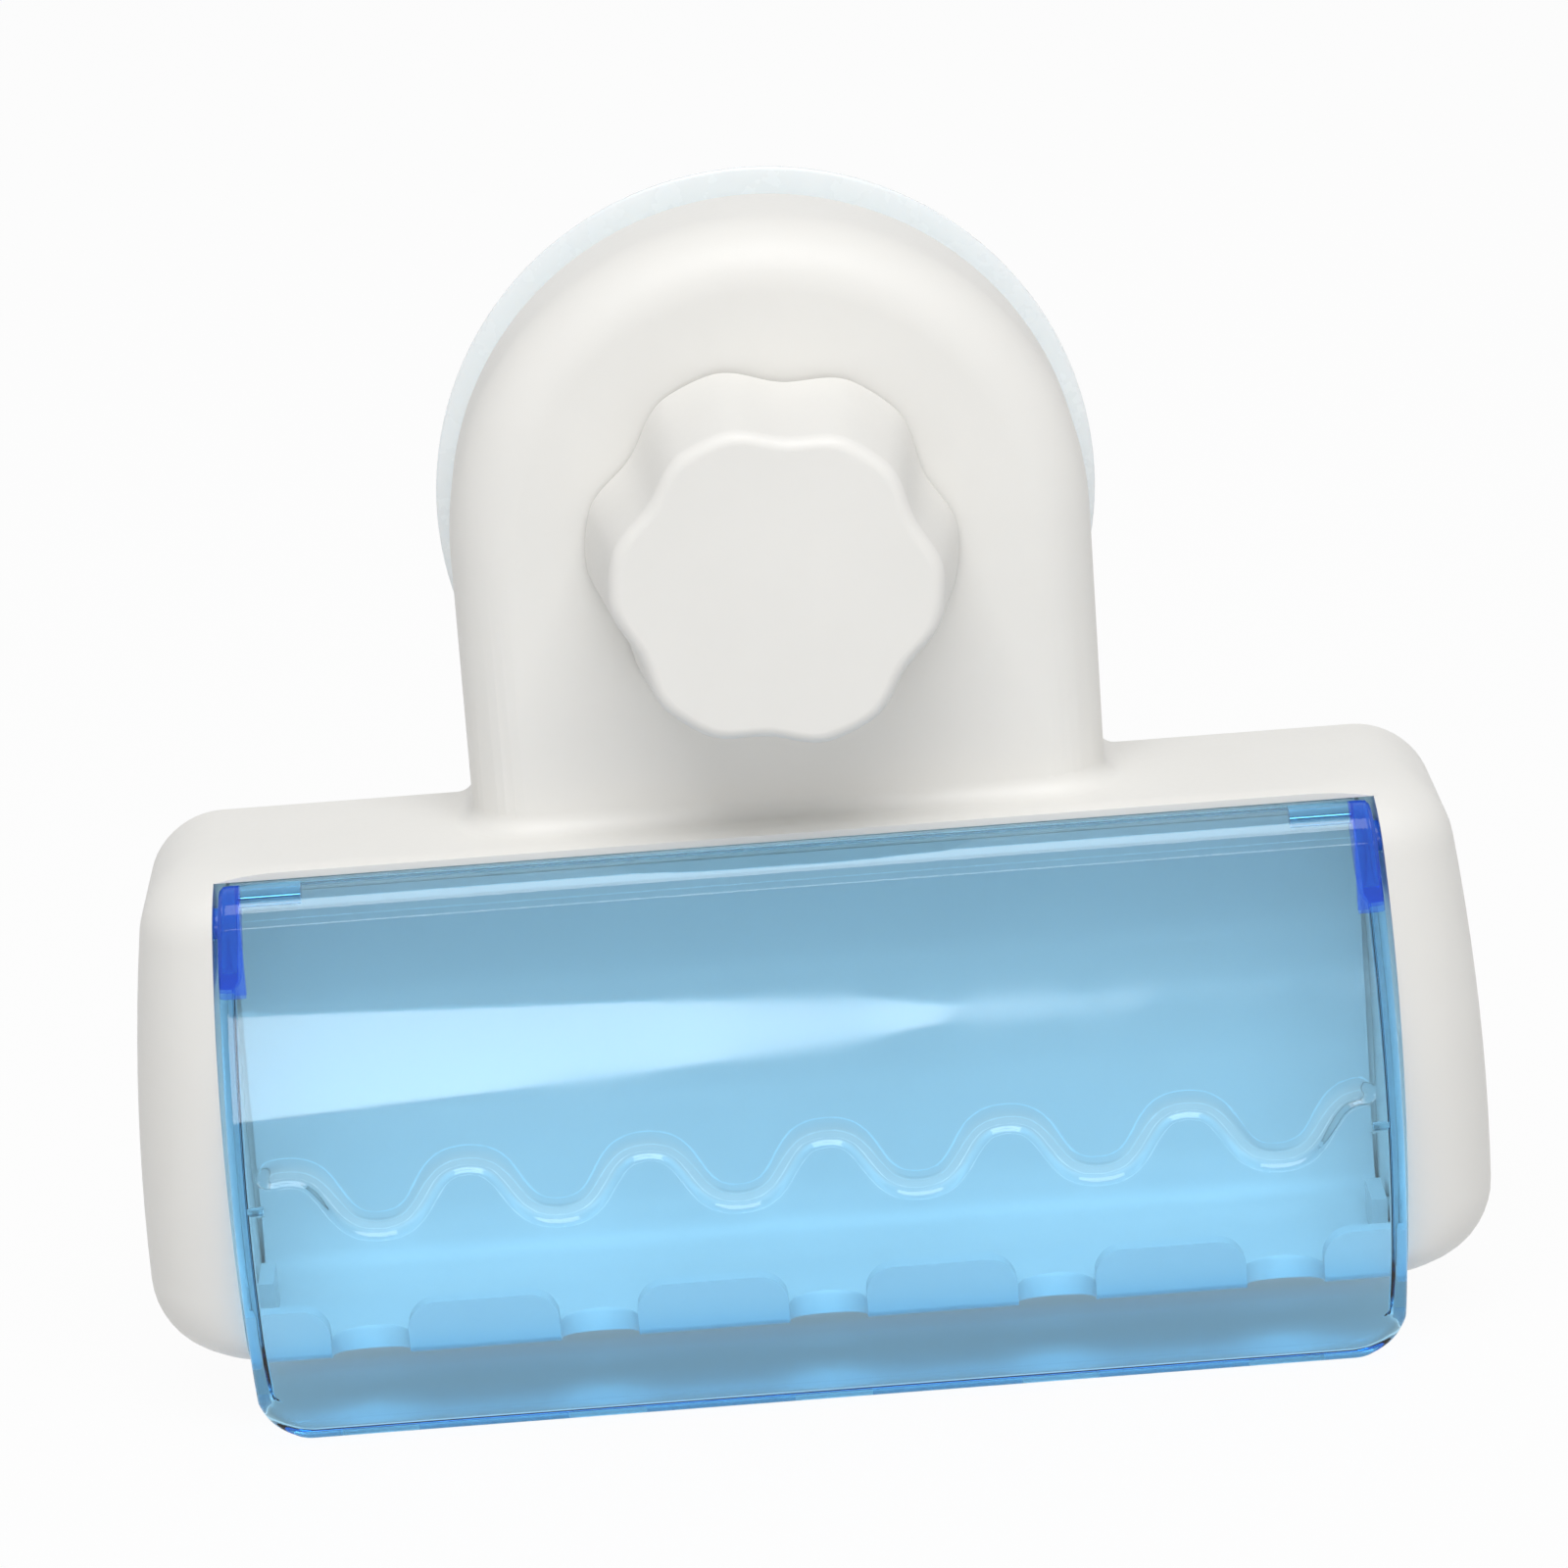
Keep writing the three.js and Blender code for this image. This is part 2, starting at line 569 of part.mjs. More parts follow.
// Press disc: a dished ring that spreads the housing's pressure over the cup's skirt
function pressDisc() {
  const frontY = BACK_Y + 0.4;
  const [webY, rimY] = [-5.3, -2.9];
  const bore = 14.5;
  const outer = 40.4;
  const rim = revolved([
    [bore, webY], [35.5, webY], [36.3, rimY], [outer - 0.6, rimY], [outer, rimY - 0.6], [outer, frontY],
    [bore, frontY],
  ]);
  const ribs = 8;
  const rib = () => new THREE.BoxGeometry(18, 1, 1.6).translate(26, webY + 0.35, 0);
  const pattern = Array.from({ length: ribs }, (_, i) => solid(rib().rotateY((i * 2 * Math.PI) / ribs)));
  return cut(join(rim, ...pattern), revolved([[0, 0], [CUP_R, 0], ...cupBack(GAP), [0, -5.1]]));
}

// Knob: six lobes between scallops, tapering to the face
function knobRing(radius, scallop, y, steps) {
  const period = (2 * Math.PI) / KNOB_LOBES;
  return Array.from({ length: steps }, (_, i) => {
    const angle = (2 * Math.PI * i) / steps;
    const off = Math.abs(angle - Math.round(angle / period - 0.5) * period - period / 2);
    const dip = off < SCALLOP_HALF ? Math.cos((Math.PI / 2) * (off / SCALLOP_HALF)) ** 2 : 0;
    const r = radius - scallop * dip;
    return new THREE.Vector3(r * Math.cos(angle + KNOB_TURN), y, r * Math.sin(angle + KNOB_TURN));
  });
}

function knob() {
  const steps = 96;
  const edgeSteps = 4;
  const taper = (y) => (y - KNOB_BASE_Y) / (KNOB_FACE_Y - KNOB_BASE_Y);
  const at = (y, inset, count) =>
    knobRing(
      THREE.MathUtils.lerp(KNOB_BASE_R, KNOB_FACE_R, taper(y)) - inset,
      THREE.MathUtils.lerp(SCALLOP_BASE, SCALLOP_FACE, taper(y)),
      y,
      count,
    );
  const outer = [at(KNOB_BASE_Y, 0, steps)];
  for (let i = 0; i <= edgeSteps; i++) {
    const angle = (i / edgeSteps) * (Math.PI / 2);
    outer.push(at(KNOB_FACE_Y + KNOB_EDGE * (1 - Math.sin(angle)), KNOB_EDGE * (1 - Math.cos(angle)), steps));
  }
  const floorY = KNOB_FACE_Y + 2.4;
  const inner = [at(KNOB_BASE_Y + 1, WALL, 48), at(floorY, WALL, 48)];
  const bossBackY = ARCH_FACE_Y - GAP - WASHER_T - GAP;
  const boss = barAlongY(KNOB_BOSS_R, bossBackY, floorY - 1, 48);
  const webs = Array.from({ length: KNOB_LOBES }, (_, i) =>
    solid(
      new THREE.BoxGeometry(KNOB_FACE_R - 1.5 - KNOB_BOSS_R + 1, 14, 1.6)
        .translate((KNOB_FACE_R - 1.5 + KNOB_BOSS_R - 1) / 2, floorY + 6, 0)
        .rotateY(-KNOB_TURN - (i * 2 * Math.PI) / KNOB_LOBES),
    ),
  );
  const pocket = hexBar(NUT_HALF_FLATS + GAP, bossBackY + 1, NUT_FRONT_Y - GAP);
  const relief = barAlongY(STUD_R + 0.8, NUT_FRONT_Y + 1, floorY + 1);
  const shell = join(cut(loft(outer), loft(inner)), boss, ...webs);
  return cut(shell, pocket, relief);
}

// A six-sided bar round the knob's axis
function hexBar(halfFlats, yBack, yFront) {
  const reach = halfFlats / Math.cos(Math.PI / 6);
  const corner = (i) => {
    const angle = KNOB_TURN + (i * Math.PI) / 3;
    return [reach * Math.cos(angle), reach * Math.sin(angle)];
  };
  const outline = new THREE.Shape().moveTo(...corner(0));
  for (let i = 1; i < 6; i++) outline.lineTo(...corner(i));
  outline.closePath();
  return frontward(outline, yBack, yBack - yFront);
}

function knobNut() {
  const reach = NUT_HALF_FLATS / Math.cos(Math.PI / 6);
  const chamfer = 0.9;
  const turned = revolved([
    [0, NUT_BACK_Y], [reach - chamfer, NUT_BACK_Y], [reach + 0.1, NUT_BACK_Y - chamfer],
    [reach + 0.1, NUT_FRONT_Y + chamfer], [reach - chamfer, NUT_FRONT_Y], [0, NUT_FRONT_Y],
  ], 48);
  const bore = barAlongY(STUD_R + GAP, 0, -FAR);
  return cut(common(hexBar(NUT_HALF_FLATS, NUT_BACK_Y, NUT_FRONT_Y), turned), bore);
}

function slipWasher() {
  const backY = ARCH_FACE_Y - GAP;
  const frontY = backY - WASHER_T;
  return revolved([[7.2, backY], [12.6, backY], [12.6, frontY], [7.2, frontY]], 36);
}

// Finishes
const whitePlastic = { color: 0xefeeea, roughness: 0.42, metalness: 0 };
const finishes = {
  housing: whitePlastic,
  rack: { color: 0xf1f1ee, roughness: 0.45, metalness: 0 },
  cover: { color: 0x6fb7e6, roughness: 0.06, metalness: 0, transparent: true, opacity: 0.55 },
  cup: { color: 0xe6eef3, roughness: 0.25, metalness: 0, transparent: true, opacity: 0.7 },
  disc: { color: 0xe9e9e6, roughness: 0.5, metalness: 0 },
  stud: { color: 0xdcdcd8, roughness: 0.4, metalness: 0 },
  brass: { color: 0xc9a75a, roughness: 0.35, metalness: 1 },
};

const holder = new THREE.Group();
for (const [name, make, finish] of [
  ["housing", housing, finishes.housing],
  ["brush_rack", brushRack, finishes.rack],
  ["flip_cover", flipCover, finishes.cover],
  ["suction_cup", suctionCup, finishes.cup],
  ["cup_stud", cupStud, finishes.stud],
  ["press_disc", pressDisc, finishes.disc],
  ["slip_washer", slipWasher, finishes.disc],
  ["knob", knob, whitePlastic],
  ["knob_nut", knobNut, finishes.brass],
]) {
  const mesh = new THREE.Mesh(geometryOf(make()), new THREE.MeshStandardMaterial(finish));
  mesh.name = name;
  holder.add(mesh);
}

export default holder;
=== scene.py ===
import json
import math

import bmesh
import bpy
from mathutils import Matrix, Vector


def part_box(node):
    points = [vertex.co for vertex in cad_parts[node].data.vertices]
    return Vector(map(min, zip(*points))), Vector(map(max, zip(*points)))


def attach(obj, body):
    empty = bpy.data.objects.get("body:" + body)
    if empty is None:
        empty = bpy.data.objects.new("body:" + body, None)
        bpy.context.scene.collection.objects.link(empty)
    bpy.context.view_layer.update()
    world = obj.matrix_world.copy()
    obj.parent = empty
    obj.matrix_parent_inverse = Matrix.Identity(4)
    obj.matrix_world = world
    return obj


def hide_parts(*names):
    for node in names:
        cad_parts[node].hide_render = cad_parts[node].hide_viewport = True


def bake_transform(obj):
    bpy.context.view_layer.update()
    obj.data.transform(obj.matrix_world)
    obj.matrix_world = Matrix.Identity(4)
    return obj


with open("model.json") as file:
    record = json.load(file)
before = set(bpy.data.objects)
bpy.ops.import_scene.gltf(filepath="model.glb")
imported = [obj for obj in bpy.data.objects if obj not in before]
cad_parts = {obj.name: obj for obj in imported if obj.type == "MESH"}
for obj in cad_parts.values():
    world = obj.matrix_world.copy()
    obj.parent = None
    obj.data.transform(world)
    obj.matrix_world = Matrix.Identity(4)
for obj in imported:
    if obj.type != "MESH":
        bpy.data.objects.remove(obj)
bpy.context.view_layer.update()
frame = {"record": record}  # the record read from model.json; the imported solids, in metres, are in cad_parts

bl_info = {
    "name": "Toothbrush Holder",
    "version": (1, 0, 0),
    "blender": (4, 5, 0),
    "location": "View3D > Sidebar > Holder",
    "description": "Wall toothbrush holder with a clear blue flip cover and a screw-down suction cup",
    "category": "Add Mesh",
}

# Lengths are written in millimetres and turned into metres where a point is made
MM = 0.001

# Fit between the pieces
WALL = 2.2
GAP = 0.3
BACK_Y = -8.0

# Places past the housing that a cut runs to
PAST_FRONT_Y, PAST_BACK_Y, PAST_LOW_Z = -60.0, 5.0, -130.0

# Box of the housing
BOX_TOP_Z, BOX_BOTTOM_Z = -36.6, -105.4
BOX_TOP_HALF, BOX_BULGE_HALF, BOX_LOW_HALF = 85.4, 91.2, 89.8
BOX_TOP_ROUND, BOX_LOW_ROUND = 9.0, 11.0
BOX_FRONT_Y, BOX_BULGE_Y = -41.0, -43.5
BOX_PLAN_ROUND, BOX_BROW_ROUND, BOX_CHIN_ROUND = 12.0, 7.0, 5.0

# Bay behind the cover
BAY_HALF = 75.9
ROOF = 1.4
ROOF_FRONT_Y = -36.5
FLARE, FLARE_MID_Z, FLARE_REACH = 1.8, -80.0, 42.0

# Arch of the housing
ARCH_FACE_Y = -29.5
FOOT_ROUND, FOOT_SINK = 2.5, 0.7

# Flip cover
PIVOT_Y, PIVOT_Z = -37.2, -43.2
COVER_TOP_R, ROLL_END, ROLL_T = 4.8, 80, 1.0
COVER_HALF = 75.2
SWEEP_TOP_PULL_Z, SWEEP_LOW_PULL = -60.0, (-50.5, -92.0)
LIP_Y, LIP_Z = -45.6, -112.2
LIP_T, LIP_EDGE, LIP_START_Z, LIP_FULL_Z = 3.4, 0.4, -98.0, -107.0
COVER_CORNER = 6.0
FLANGE_DEPTH, FLANGE_T, FLANGE_LOW_Z = 3.4, 2.0, -109.0
EAR_T, EAR_LOW_Z, EAR_BACK_Y = 2.6, -51.0, -30.0
PIN_R = 2.0
RIB_ANGLES, RIB_INNER_R, RIB_LENGTH = (60, 118), 2.2, 8.0
GUSSET_Z, GUSSET_T = -81.0, 0.8
WAVE_Z, WAVE_SHIFT, WAVE_HALF = -79.7, 1.3, 71.5
WAVE_BAND, WAVE_FULLNESS = 1.7, 1.3
FINE_TOP_Z, FINE_LOW_Z, LIP_ROWS_Z = -73.6, -85.8, -106.0

# Brush rack
SLOTS, SLOT_PITCH, SLOT_BACK_Y = 5, 30.5, -32.5
RACK_HALF, RACK_FRONT_Y, RACK_T = 76.6, -40.0, 2.4
LINER_TOP_Z, LINER_T = -46.0, 1.2
COVE_TOP_Z, COVE_REACH = -93.0, 10.0
UNDER_DROP, UNDER_T, UNDER_TURN = 2.55, 1.6, 248
RACK_EDGE_ROUND, TOOTH_TOP_Z = 1.5, -97.0
PEG_R, PEG_Y, PEG_Z = 1.6, -24.0, BOX_BOTTOM_Z + 5.0

# Suction cup, stud and knob
STUD_R, STUD_FLAT, STUD_TIP_Y = 6.0, 4.9, -44.0
HEAD_R, HEAD_BACK_Y, HEAD_FRONT_Y = 9.0, -6.0, -9.0
HUB_R, HUB_TOP_Y = 12.5, -13.0
KNOB_BASE_Y, KNOB_FACE_Y = -30.0, -52.0
KNOB_BASE_R, KNOB_FACE_R = 24.3, 21.2
KNOB_LOBES, KNOB_TURN = 6, math.radians(-7)
SCALLOP_HALF, SCALLOP_BASE, SCALLOP_FACE = math.radians(23), 2.3, 1.7
KNOB_EDGE, KNOB_BOSS_R = 1.6, 13.2
NUT_HALF_FLATS, NUT_BACK_Y, NUT_FRONT_Y = 9.5, -33.5, -41.5
WASHER_INNER, WASHER_OUTER, WASHER_T = 7.2, 12.6, 1.4


class HolderSizes(bpy.types.PropertyGroup):
    """Sizes that a user would change"""

    arch_radius: bpy.props.FloatProperty(
        name="Arch Radius", description="Radius of the housing's arched top",
        default=0.042, unit="LENGTH", subtype="DISTANCE",
    )
    arch_round: bpy.props.FloatProperty(
        name="Arch Rounding", description="Radius of the arch's front edge",
        default=0.0085, unit="LENGTH", subtype="DISTANCE",
    )
    edge_round: bpy.props.FloatProperty(
        name="Edge Rounding", description="Radius on the sharp edges of the white mouldings",
        default=0.0004, unit="LENGTH", subtype="DISTANCE",
    )
    cover_wall: bpy.props.FloatProperty(
        name="Cover Wall", description="Thickness of the clear cover",
        default=0.0018, unit="LENGTH", subtype="DISTANCE",
    )
    wave_length: bpy.props.FloatProperty(
        name="Wave Length", description="Distance between two crests of the cover's wave",
        default=0.02365, unit="LENGTH", subtype="DISTANCE",
    )
    wave_height: bpy.props.FloatProperty(
        name="Wave Height", description="Rise of a crest over the middle of the wave",
        default=0.00405, unit="LENGTH", subtype="DISTANCE",
    )
    groove_depth: bpy.props.FloatProperty(
        name="Groove Depth", description="How deep the wave is cut into the cover",
        default=0.0006, unit="LENGTH", subtype="DISTANCE",
    )
    slot_width: bpy.props.FloatProperty(
        name="Slot Width", description="Width of a brush slot",
        default=0.0104, unit="LENGTH", subtype="DISTANCE",
    )
    tooth_round: bpy.props.FloatProperty(
        name="Tooth Rounding", description="Radius of the shoulders of the rack's teeth",
        default=0.0038, unit="LENGTH", subtype="DISTANCE",
    )
    cup_radius: bpy.props.FloatProperty(
        name="Cup Radius", description="Outer radius of the suction cup",
        default=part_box("suction_cup")[1].x, unit="LENGTH", subtype="DISTANCE",
    )
    thread_pitch: bpy.props.FloatProperty(
        name="Thread Pitch", description="Travel of the stud for one turn of the knob",
        default=0.003, unit="LENGTH", subtype="DISTANCE",
    )


class HolderFinishes(bpy.types.PropertyGroup):
    """Colours that a user would change"""

    moulding: bpy.props.FloatVectorProperty(
        name="White Moulding", description="Colour of the housing and the knob",
        default=(0.83, 0.82, 0.79), size=3, min=0, max=1, subtype="COLOR",
    )
    # Painted shade: the rack's white is set greyer than the housing's moulding, standing in for the dimmer
    # light inside the bay behind the cover
    rack: bpy.props.FloatVectorProperty(
        name="Rack", description="Colour of the brush rack",
        default=(0.76, 0.76, 0.75), size=3, min=0, max=1, subtype="COLOR",
    )
    cover_tint: bpy.props.FloatVectorProperty(
        name="Cover Tint", description="Colour that deep layers of the clear cover turn to",
        default=(0.0, 0.66, 0.94), size=3, min=0, max=1, subtype="COLOR",
    )
    ear: bpy.props.FloatVectorProperty(
        name="Hinge Ears", description="Colour of the cover's thick hinge ears",
        default=(0.03, 0.15, 0.85), size=3, min=0, max=1, subtype="COLOR",
    )
    cover_depth: bpy.props.FloatProperty(
        name="Cover Depth", description="How fast the clear cover takes up colour, per metre",
        default=300.0, min=0,
    )
    cup: bpy.props.FloatVectorProperty(
        name="Suction Cup", description="Colour of the soft cup",
        default=(0.86, 0.92, 0.96), size=3, min=0, max=1, subtype="COLOR",
    )
    fitting: bpy.props.FloatVectorProperty(
        name="Hidden Fittings", description="Colour of the stud, the washer and the press disc",
        default=(0.76, 0.76, 0.73), size=3, min=0, max=1, subtype="COLOR",
    )
    brass: bpy.props.FloatVectorProperty(
        name="Brass", description="Colour of the nut in the knob",
        default=(0.72, 0.52, 0.24), size=3, min=0, max=1, subtype="COLOR",
    )
    floor: bpy.props.FloatVectorProperty(
        name="Floor", description="Colour of the studio floor",
        default=(0.72, 0.72, 0.72), size=3, min=0, max=1, subtype="COLOR",
    )


def sizes():
    return bpy.context.scene.holder_sizes


def finishes():
    return bpy.context.scene.holder_finishes


# Modelling helpers
def point(x, y, z):
    return Vector((x, y, z)) * MM


def mix(a, b, share):
    return a + (b - a) * share


def deselect():
    bpy.ops.object.select_all(action="DESELECT")


def activate(piece):
    deselect()
    piece.select_set(True)
    bpy.context.view_layer.objects.active = piece


def place_cap(piece, ring):
    """Moves the corners of the selected face to a ring of points."""
    mesh = bmesh.from_edit_mesh(piece.data)
    cap = next(face for face in mesh.faces if face.select)
    for corner, target in zip(cap.verts, ring):
        corner.co = target
    bmesh.update_edit_mesh(piece.data)


def stacked(name, rings):
    """A closed body through rings of points: a filled circle, extruded from ring to ring."""
    deselect()
    bpy.ops.mesh.primitive_circle_add(vertices=len(rings[0]), fill_type="NGON")
    piece = bpy.context.object
    piece.name = name
    bpy.ops.object.mode_set(mode="EDIT")
    bpy.ops.mesh.select_mode(type="FACE")
    bpy.ops.mesh.select_all(action="SELECT")
    place_cap(piece, rings[0])
    for ring in rings[1:]:
        bpy.ops.mesh.extrude_region_move()
        place_cap(piece, ring)
    bpy.ops.mesh.select_all(action="SELECT")
    bpy.ops.mesh.normals_make_consistent(inside=False)
    bpy.ops.object.mode_set(mode="OBJECT")
    return piece


def turned(name, profile, steps=96):
    """A closed outline of (radius, y) corners, spun round the cup's axis."""
    deselect()
    bpy.ops.mesh.primitive_circle_add(vertices=len(profile), fill_type="NOTHING")
    piece = bpy.context.object
    piece.name = name
    bpy.ops.object.mode_set(mode="EDIT")
    mesh = bmesh.from_edit_mesh(piece.data)
    for corner, (radius, y) in zip(mesh.verts, profile):
        corner.co = point(radius, y, 0)
    bmesh.update_edit_mesh(piece.data)
    bpy.ops.mesh.select_mode(type="VERT")
    bpy.ops.mesh.select_all(action="SELECT")
    bpy.ops.mesh.spin(steps=steps, angle=2 * math.pi, center=(0, 0, 0), axis=(0, 1, 0))
    bpy.ops.mesh.select_all(action="SELECT")
    bpy.ops.mesh.remove_doubles(threshold=1e-6)
    bpy.ops.mesh.delete_loose()
    bpy.ops.mesh.select_all(action="SELECT")
    bpy.ops.mesh.normals_make_consistent(inside=False)
    bpy.ops.object.mode_set(mode="OBJECT")
    return piece


# Outlines are lists of corners: (y, z) for bars along X and (x, z) for bars along Y
def along_x(name, outline, x0, x1):
    return stacked(name, [[point(x, y, z) for y, z in outline] for x in (x0, x1)])


def along_y(name, outline, y0, y1):
    return stacked(name, [[point(x, y, z) for x, z in outline] for y in (y0, y1)])


def arc(centre, radius, start, end, steps):
    """Corners on an arc, with the angles in degrees."""
    angles = [math.radians(mix(start, end, i / steps)) for i in range(steps + 1)]
    return [(centre[0] + radius * math.cos(a), centre[1] + radius * math.sin(a)) for a in angles]


def disc(centre, radius, steps=48):
    return arc(centre, radius, 0, 360, steps)[:-1]


def curve(corners, steps):
    """Points on the Bezier curve of three or four corners, without its first point."""
    points = []
    for i in range(1, steps + 1):
        level = [Vector(corner) for corner in corners]
        while len(level) > 1:
            level = [a.lerp(b, i / steps) for a, b in zip(level, level[1:])]
        points.append(tuple(level[0]))
    return points


def web(name, radius_in, radius_out, thickness, y0, y1, angle):
    """An upright web that stands away from the cup's axis at an angle in degrees."""
    half = thickness / 2
    turn = Matrix.Rotation(math.radians(angle), 2)
    corners = [(radius_in, -half), (radius_out, -half), (radius_out, half), (radius_in, half)]
    return along_y(name, [tuple(turn @ Vector(corner)) for corner in corners], y0, y1)


def combine(piece, operation, *tools):
    """Joins tools to a piece or cuts them out of it, one by one."""
    for tool in tools:
        activate(piece)
        bpy.ops.object.modifier_add(type="BOOLEAN")
        modifier = piece.modifiers[-1]
        modifier.operation = operation
        modifier.solver = "MANIFOLD"
        modifier.object = tool
        bpy.ops.object.modifier_apply(modifier=modifier.name)
        bpy.data.objects.remove(tool)
    return piece


def join(piece, *tools):
    return combine(piece, "UNION", *tools)


def cut(piece, *tools):
    return combine(piece, "DIFFERENCE", *tools)


def soften(piece, width, segments=2, angle=40):
    """Rounds the sharp edges."""
    activate(piece)
    bpy.ops.object.modifier_add(type="BEVEL")
    modifier = piece.modifiers[-1]
    modifier.width = width
    modifier.segments = segments
    modifier.limit_method = "ANGLE"
    modifier.angle_limit = math.radians(angle)
    bpy.ops.object.modifier_apply(modifier=modifier.name)


def dress_piece(piece, node, material, angle=35):
    """Shades a piece, gives it its material and lets it stand for its CAD node."""
    activate(piece)
    bpy.ops.object.shade_smooth_by_angle(angle=math.radians(angle))
    bpy.ops.object.modifier_add(type="WEIGHTED_NORMAL")
    modifier = piece.modifiers[-1]
    modifier.keep_sharp = True
    bpy.ops.object.modifier_apply(modifier=modifier.name)
    piece.data.materials.clear()
    piece.data.materials.append(material)
    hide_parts(node)


def finish_piece(piece, node, material, angle=35):
    """Dresses a piece and lets it ride on its node's body."""
    dress_piece(piece, node, material, angle)
    bodies = frame["record"]["behaviour"]["bodies"]
    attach(piece, next(body for body, nodes in bodies.items() if node in nodes))


# Material helpers
def new_material(name):
    material = bpy.data.materials.new(name)
    material.use_nodes = True
    tree = material.node_tree
    return material, tree, tree.nodes["Principled BSDF"]


def add_noise(tree, scale, detail):
    """Noise on the piece's own coordinates."""
    place = tree.nodes.new("ShaderNodeTexCoord")
    noise = tree.nodes.new("ShaderNodeTexNoise")
    noise.inputs["Scale"].default_value = scale
    noise.inputs["Detail"].default_value = detail
    tree.links.new(place.outputs["Object"], noise.inputs["Vector"])
    return noise


def add_ramp(tree, source, low, high):
    """A ramp from one colour or grey to another over the middle of a noise."""
    ramp = tree.nodes.new("ShaderNodeValToRGB")
    ramp.color_ramp.elements[0].position = 0.35
    ramp.color_ramp.elements[1].position = 0.65
    ramp.color_ramp.elements[0].color = low
    ramp.color_ramp.elements[1].color = high
    tree.links.new(source.outputs["Fac"], ramp.inputs["Fac"])
    return ramp


def grey(value):
    return (value, value, value, 1)


def shaded(colour, share):
    return (*(channel * share for channel in colour), 1)


def add_bump(tree, shader, source, strength, distance):
    bump = tree.nodes.new("ShaderNodeBump")
    bump.inputs["Strength"].default_value = strength
    bump.inputs["Distance"].default_value = distance
    tree.links.new(source.outputs["Fac"], bump.inputs["Height"])
    tree.links.new(bump.outputs["Normal"], shader.inputs["Normal"])


def add_math(tree, operation, *terms):
    """A math node on sockets or plain numbers."""
    node = tree.nodes.new("ShaderNodeMath")
    node.operation = operation
    for term, socket in zip(terms, node.inputs):
        if isinstance(term, (int, float)):
            socket.default_value = term
        else:
            tree.links.new(term, socket)
    return node.outputs["Value"]


def moulded_plastic(name, colour, rough_low, rough_high):
    """White moulded plastic: faint clouding, a fine eroded skin and a satin gloss."""
    material, tree, shader = new_material(name)
    cloud = add_ramp(tree, add_noise(tree, 35, 3), shaded(colour, 0.975), shaded(colour, 1.0))
    tree.links.new(cloud.outputs["Color"], shader.inputs["Base Color"])
    skin = add_noise(tree, 1400, 2)
    gloss = add_ramp(tree, skin, grey(rough_low), grey(rough_high))
    tree.links.new(gloss.outputs["Color"], shader.inputs["Roughness"])
    add_bump(tree, shader, skin, 0.12, 0.00004)
    shader.inputs["IOR"].default_value = 1.5
    shader.inputs["Subsurface Weight"].default_value = 0.08
    shader.inputs["Subsurface Radius"].default_value = (1.0, 0.9, 0.8)
    shader.inputs["Subsurface Scale"].default_value = 0.001
    return material


def cloudy_ears(tree, clear):
    """Clear plastic that turns into a deep cloudy blue in the thick hinge ears."""
    place = tree.nodes.new("ShaderNodeSeparateXYZ")
    tree.links.new(tree.nodes.new("ShaderNodeTexCoord").outputs["Object"], place.inputs["Vector"])
    aside = add_math(tree, "ABSOLUTE", place.outputs["X"])
    outward = add_math(tree, "GREATER_THAN", aside, (COVER_HALF - EAR_T) * MM)
    above = add_math(tree, "GREATER_THAN", place.outputs["Z"], (EAR_LOW_Z - 1) * MM)
    clouding = 0.45
    share = add_math(tree, "MULTIPLY", add_math(tree, "MULTIPLY", outward, above), clouding)
    cloudy = tree.nodes.new("ShaderNodeBsdfDiffuse")
    cloudy.inputs["Color"].default_value = (*finishes().ear, 1)
    both = tree.nodes.new("ShaderNodeMixShader")
    tree.links.new(share, both.inputs["Fac"])
    tree.links.new(clear, both.inputs[1])
    tree.links.new(cloudy.outputs["BSDF"], both.inputs[2])
    return both.outputs["Shader"]


def clear_blue(name):
    """Polished clear plastic that takes its colour from its depth."""
    material, tree, shader = new_material(name)
    shader.inputs["Base Color"].default_value = (1, 1, 1, 1)
    shader.inputs["IOR"].default_value = 1.5
    shader.inputs["Transmission Weight"].default_value = 1.0
    gloss = add_ramp(tree, add_noise(tree, 60, 4), grey(0.01), grey(0.035))
    tree.links.new(gloss.outputs["Color"], shader.inputs["Roughness"])
    depth = tree.nodes.new("ShaderNodeVolumeAbsorption")
    depth.inputs["Color"].default_value = (*finishes().cover_tint, 1)
    depth.inputs["Density"].default_value = finishes().cover_depth
    output = tree.nodes["Material Output"]
    tree.links.new(depth.outputs["Volume"], output.inputs["Volume"])
    ray = tree.nodes.new("ShaderNodeLightPath")
    through = tree.nodes.new("ShaderNodeBsdfTransparent")
    either = tree.nodes.new("ShaderNodeMixShader")
    tree.links.new(ray.outputs["Is Shadow Ray"], either.inputs["Fac"])
    tree.links.new(cloudy_ears(tree, shader.outputs["BSDF"]), either.inputs[1])
    tree.links.new(through.outputs["BSDF"], either.inputs[2])
    tree.links.new(either.outputs["Shader"], output.inputs["Surface"])
    return material


def soft_vinyl(name):
    """Cloudy soft vinyl."""
    material, tree, shader = new_material(name)
    colour = finishes().cup
    cloud = add_ramp(tree, add_noise(tree, 50, 3), shaded(colour, 0.98), shaded(colour, 1.0))
    tree.links.new(cloud.outputs["Color"], shader.inputs["Base Color"])
    gloss = add_ramp(tree, add_noise(tree, 300, 3), grey(0.18), grey(0.32))
    tree.links.new(gloss.outputs["Color"], shader.inputs["Roughness"])
    shader.inputs["IOR"].default_value = 1.45
    shader.inputs["Subsurface Weight"].default_value = 0.5
    shader.inputs["Subsurface Radius"].default_value = (0.8, 0.9, 1.0)
    shader.inputs["Subsurface Scale"].default_value = 0.003
    return material


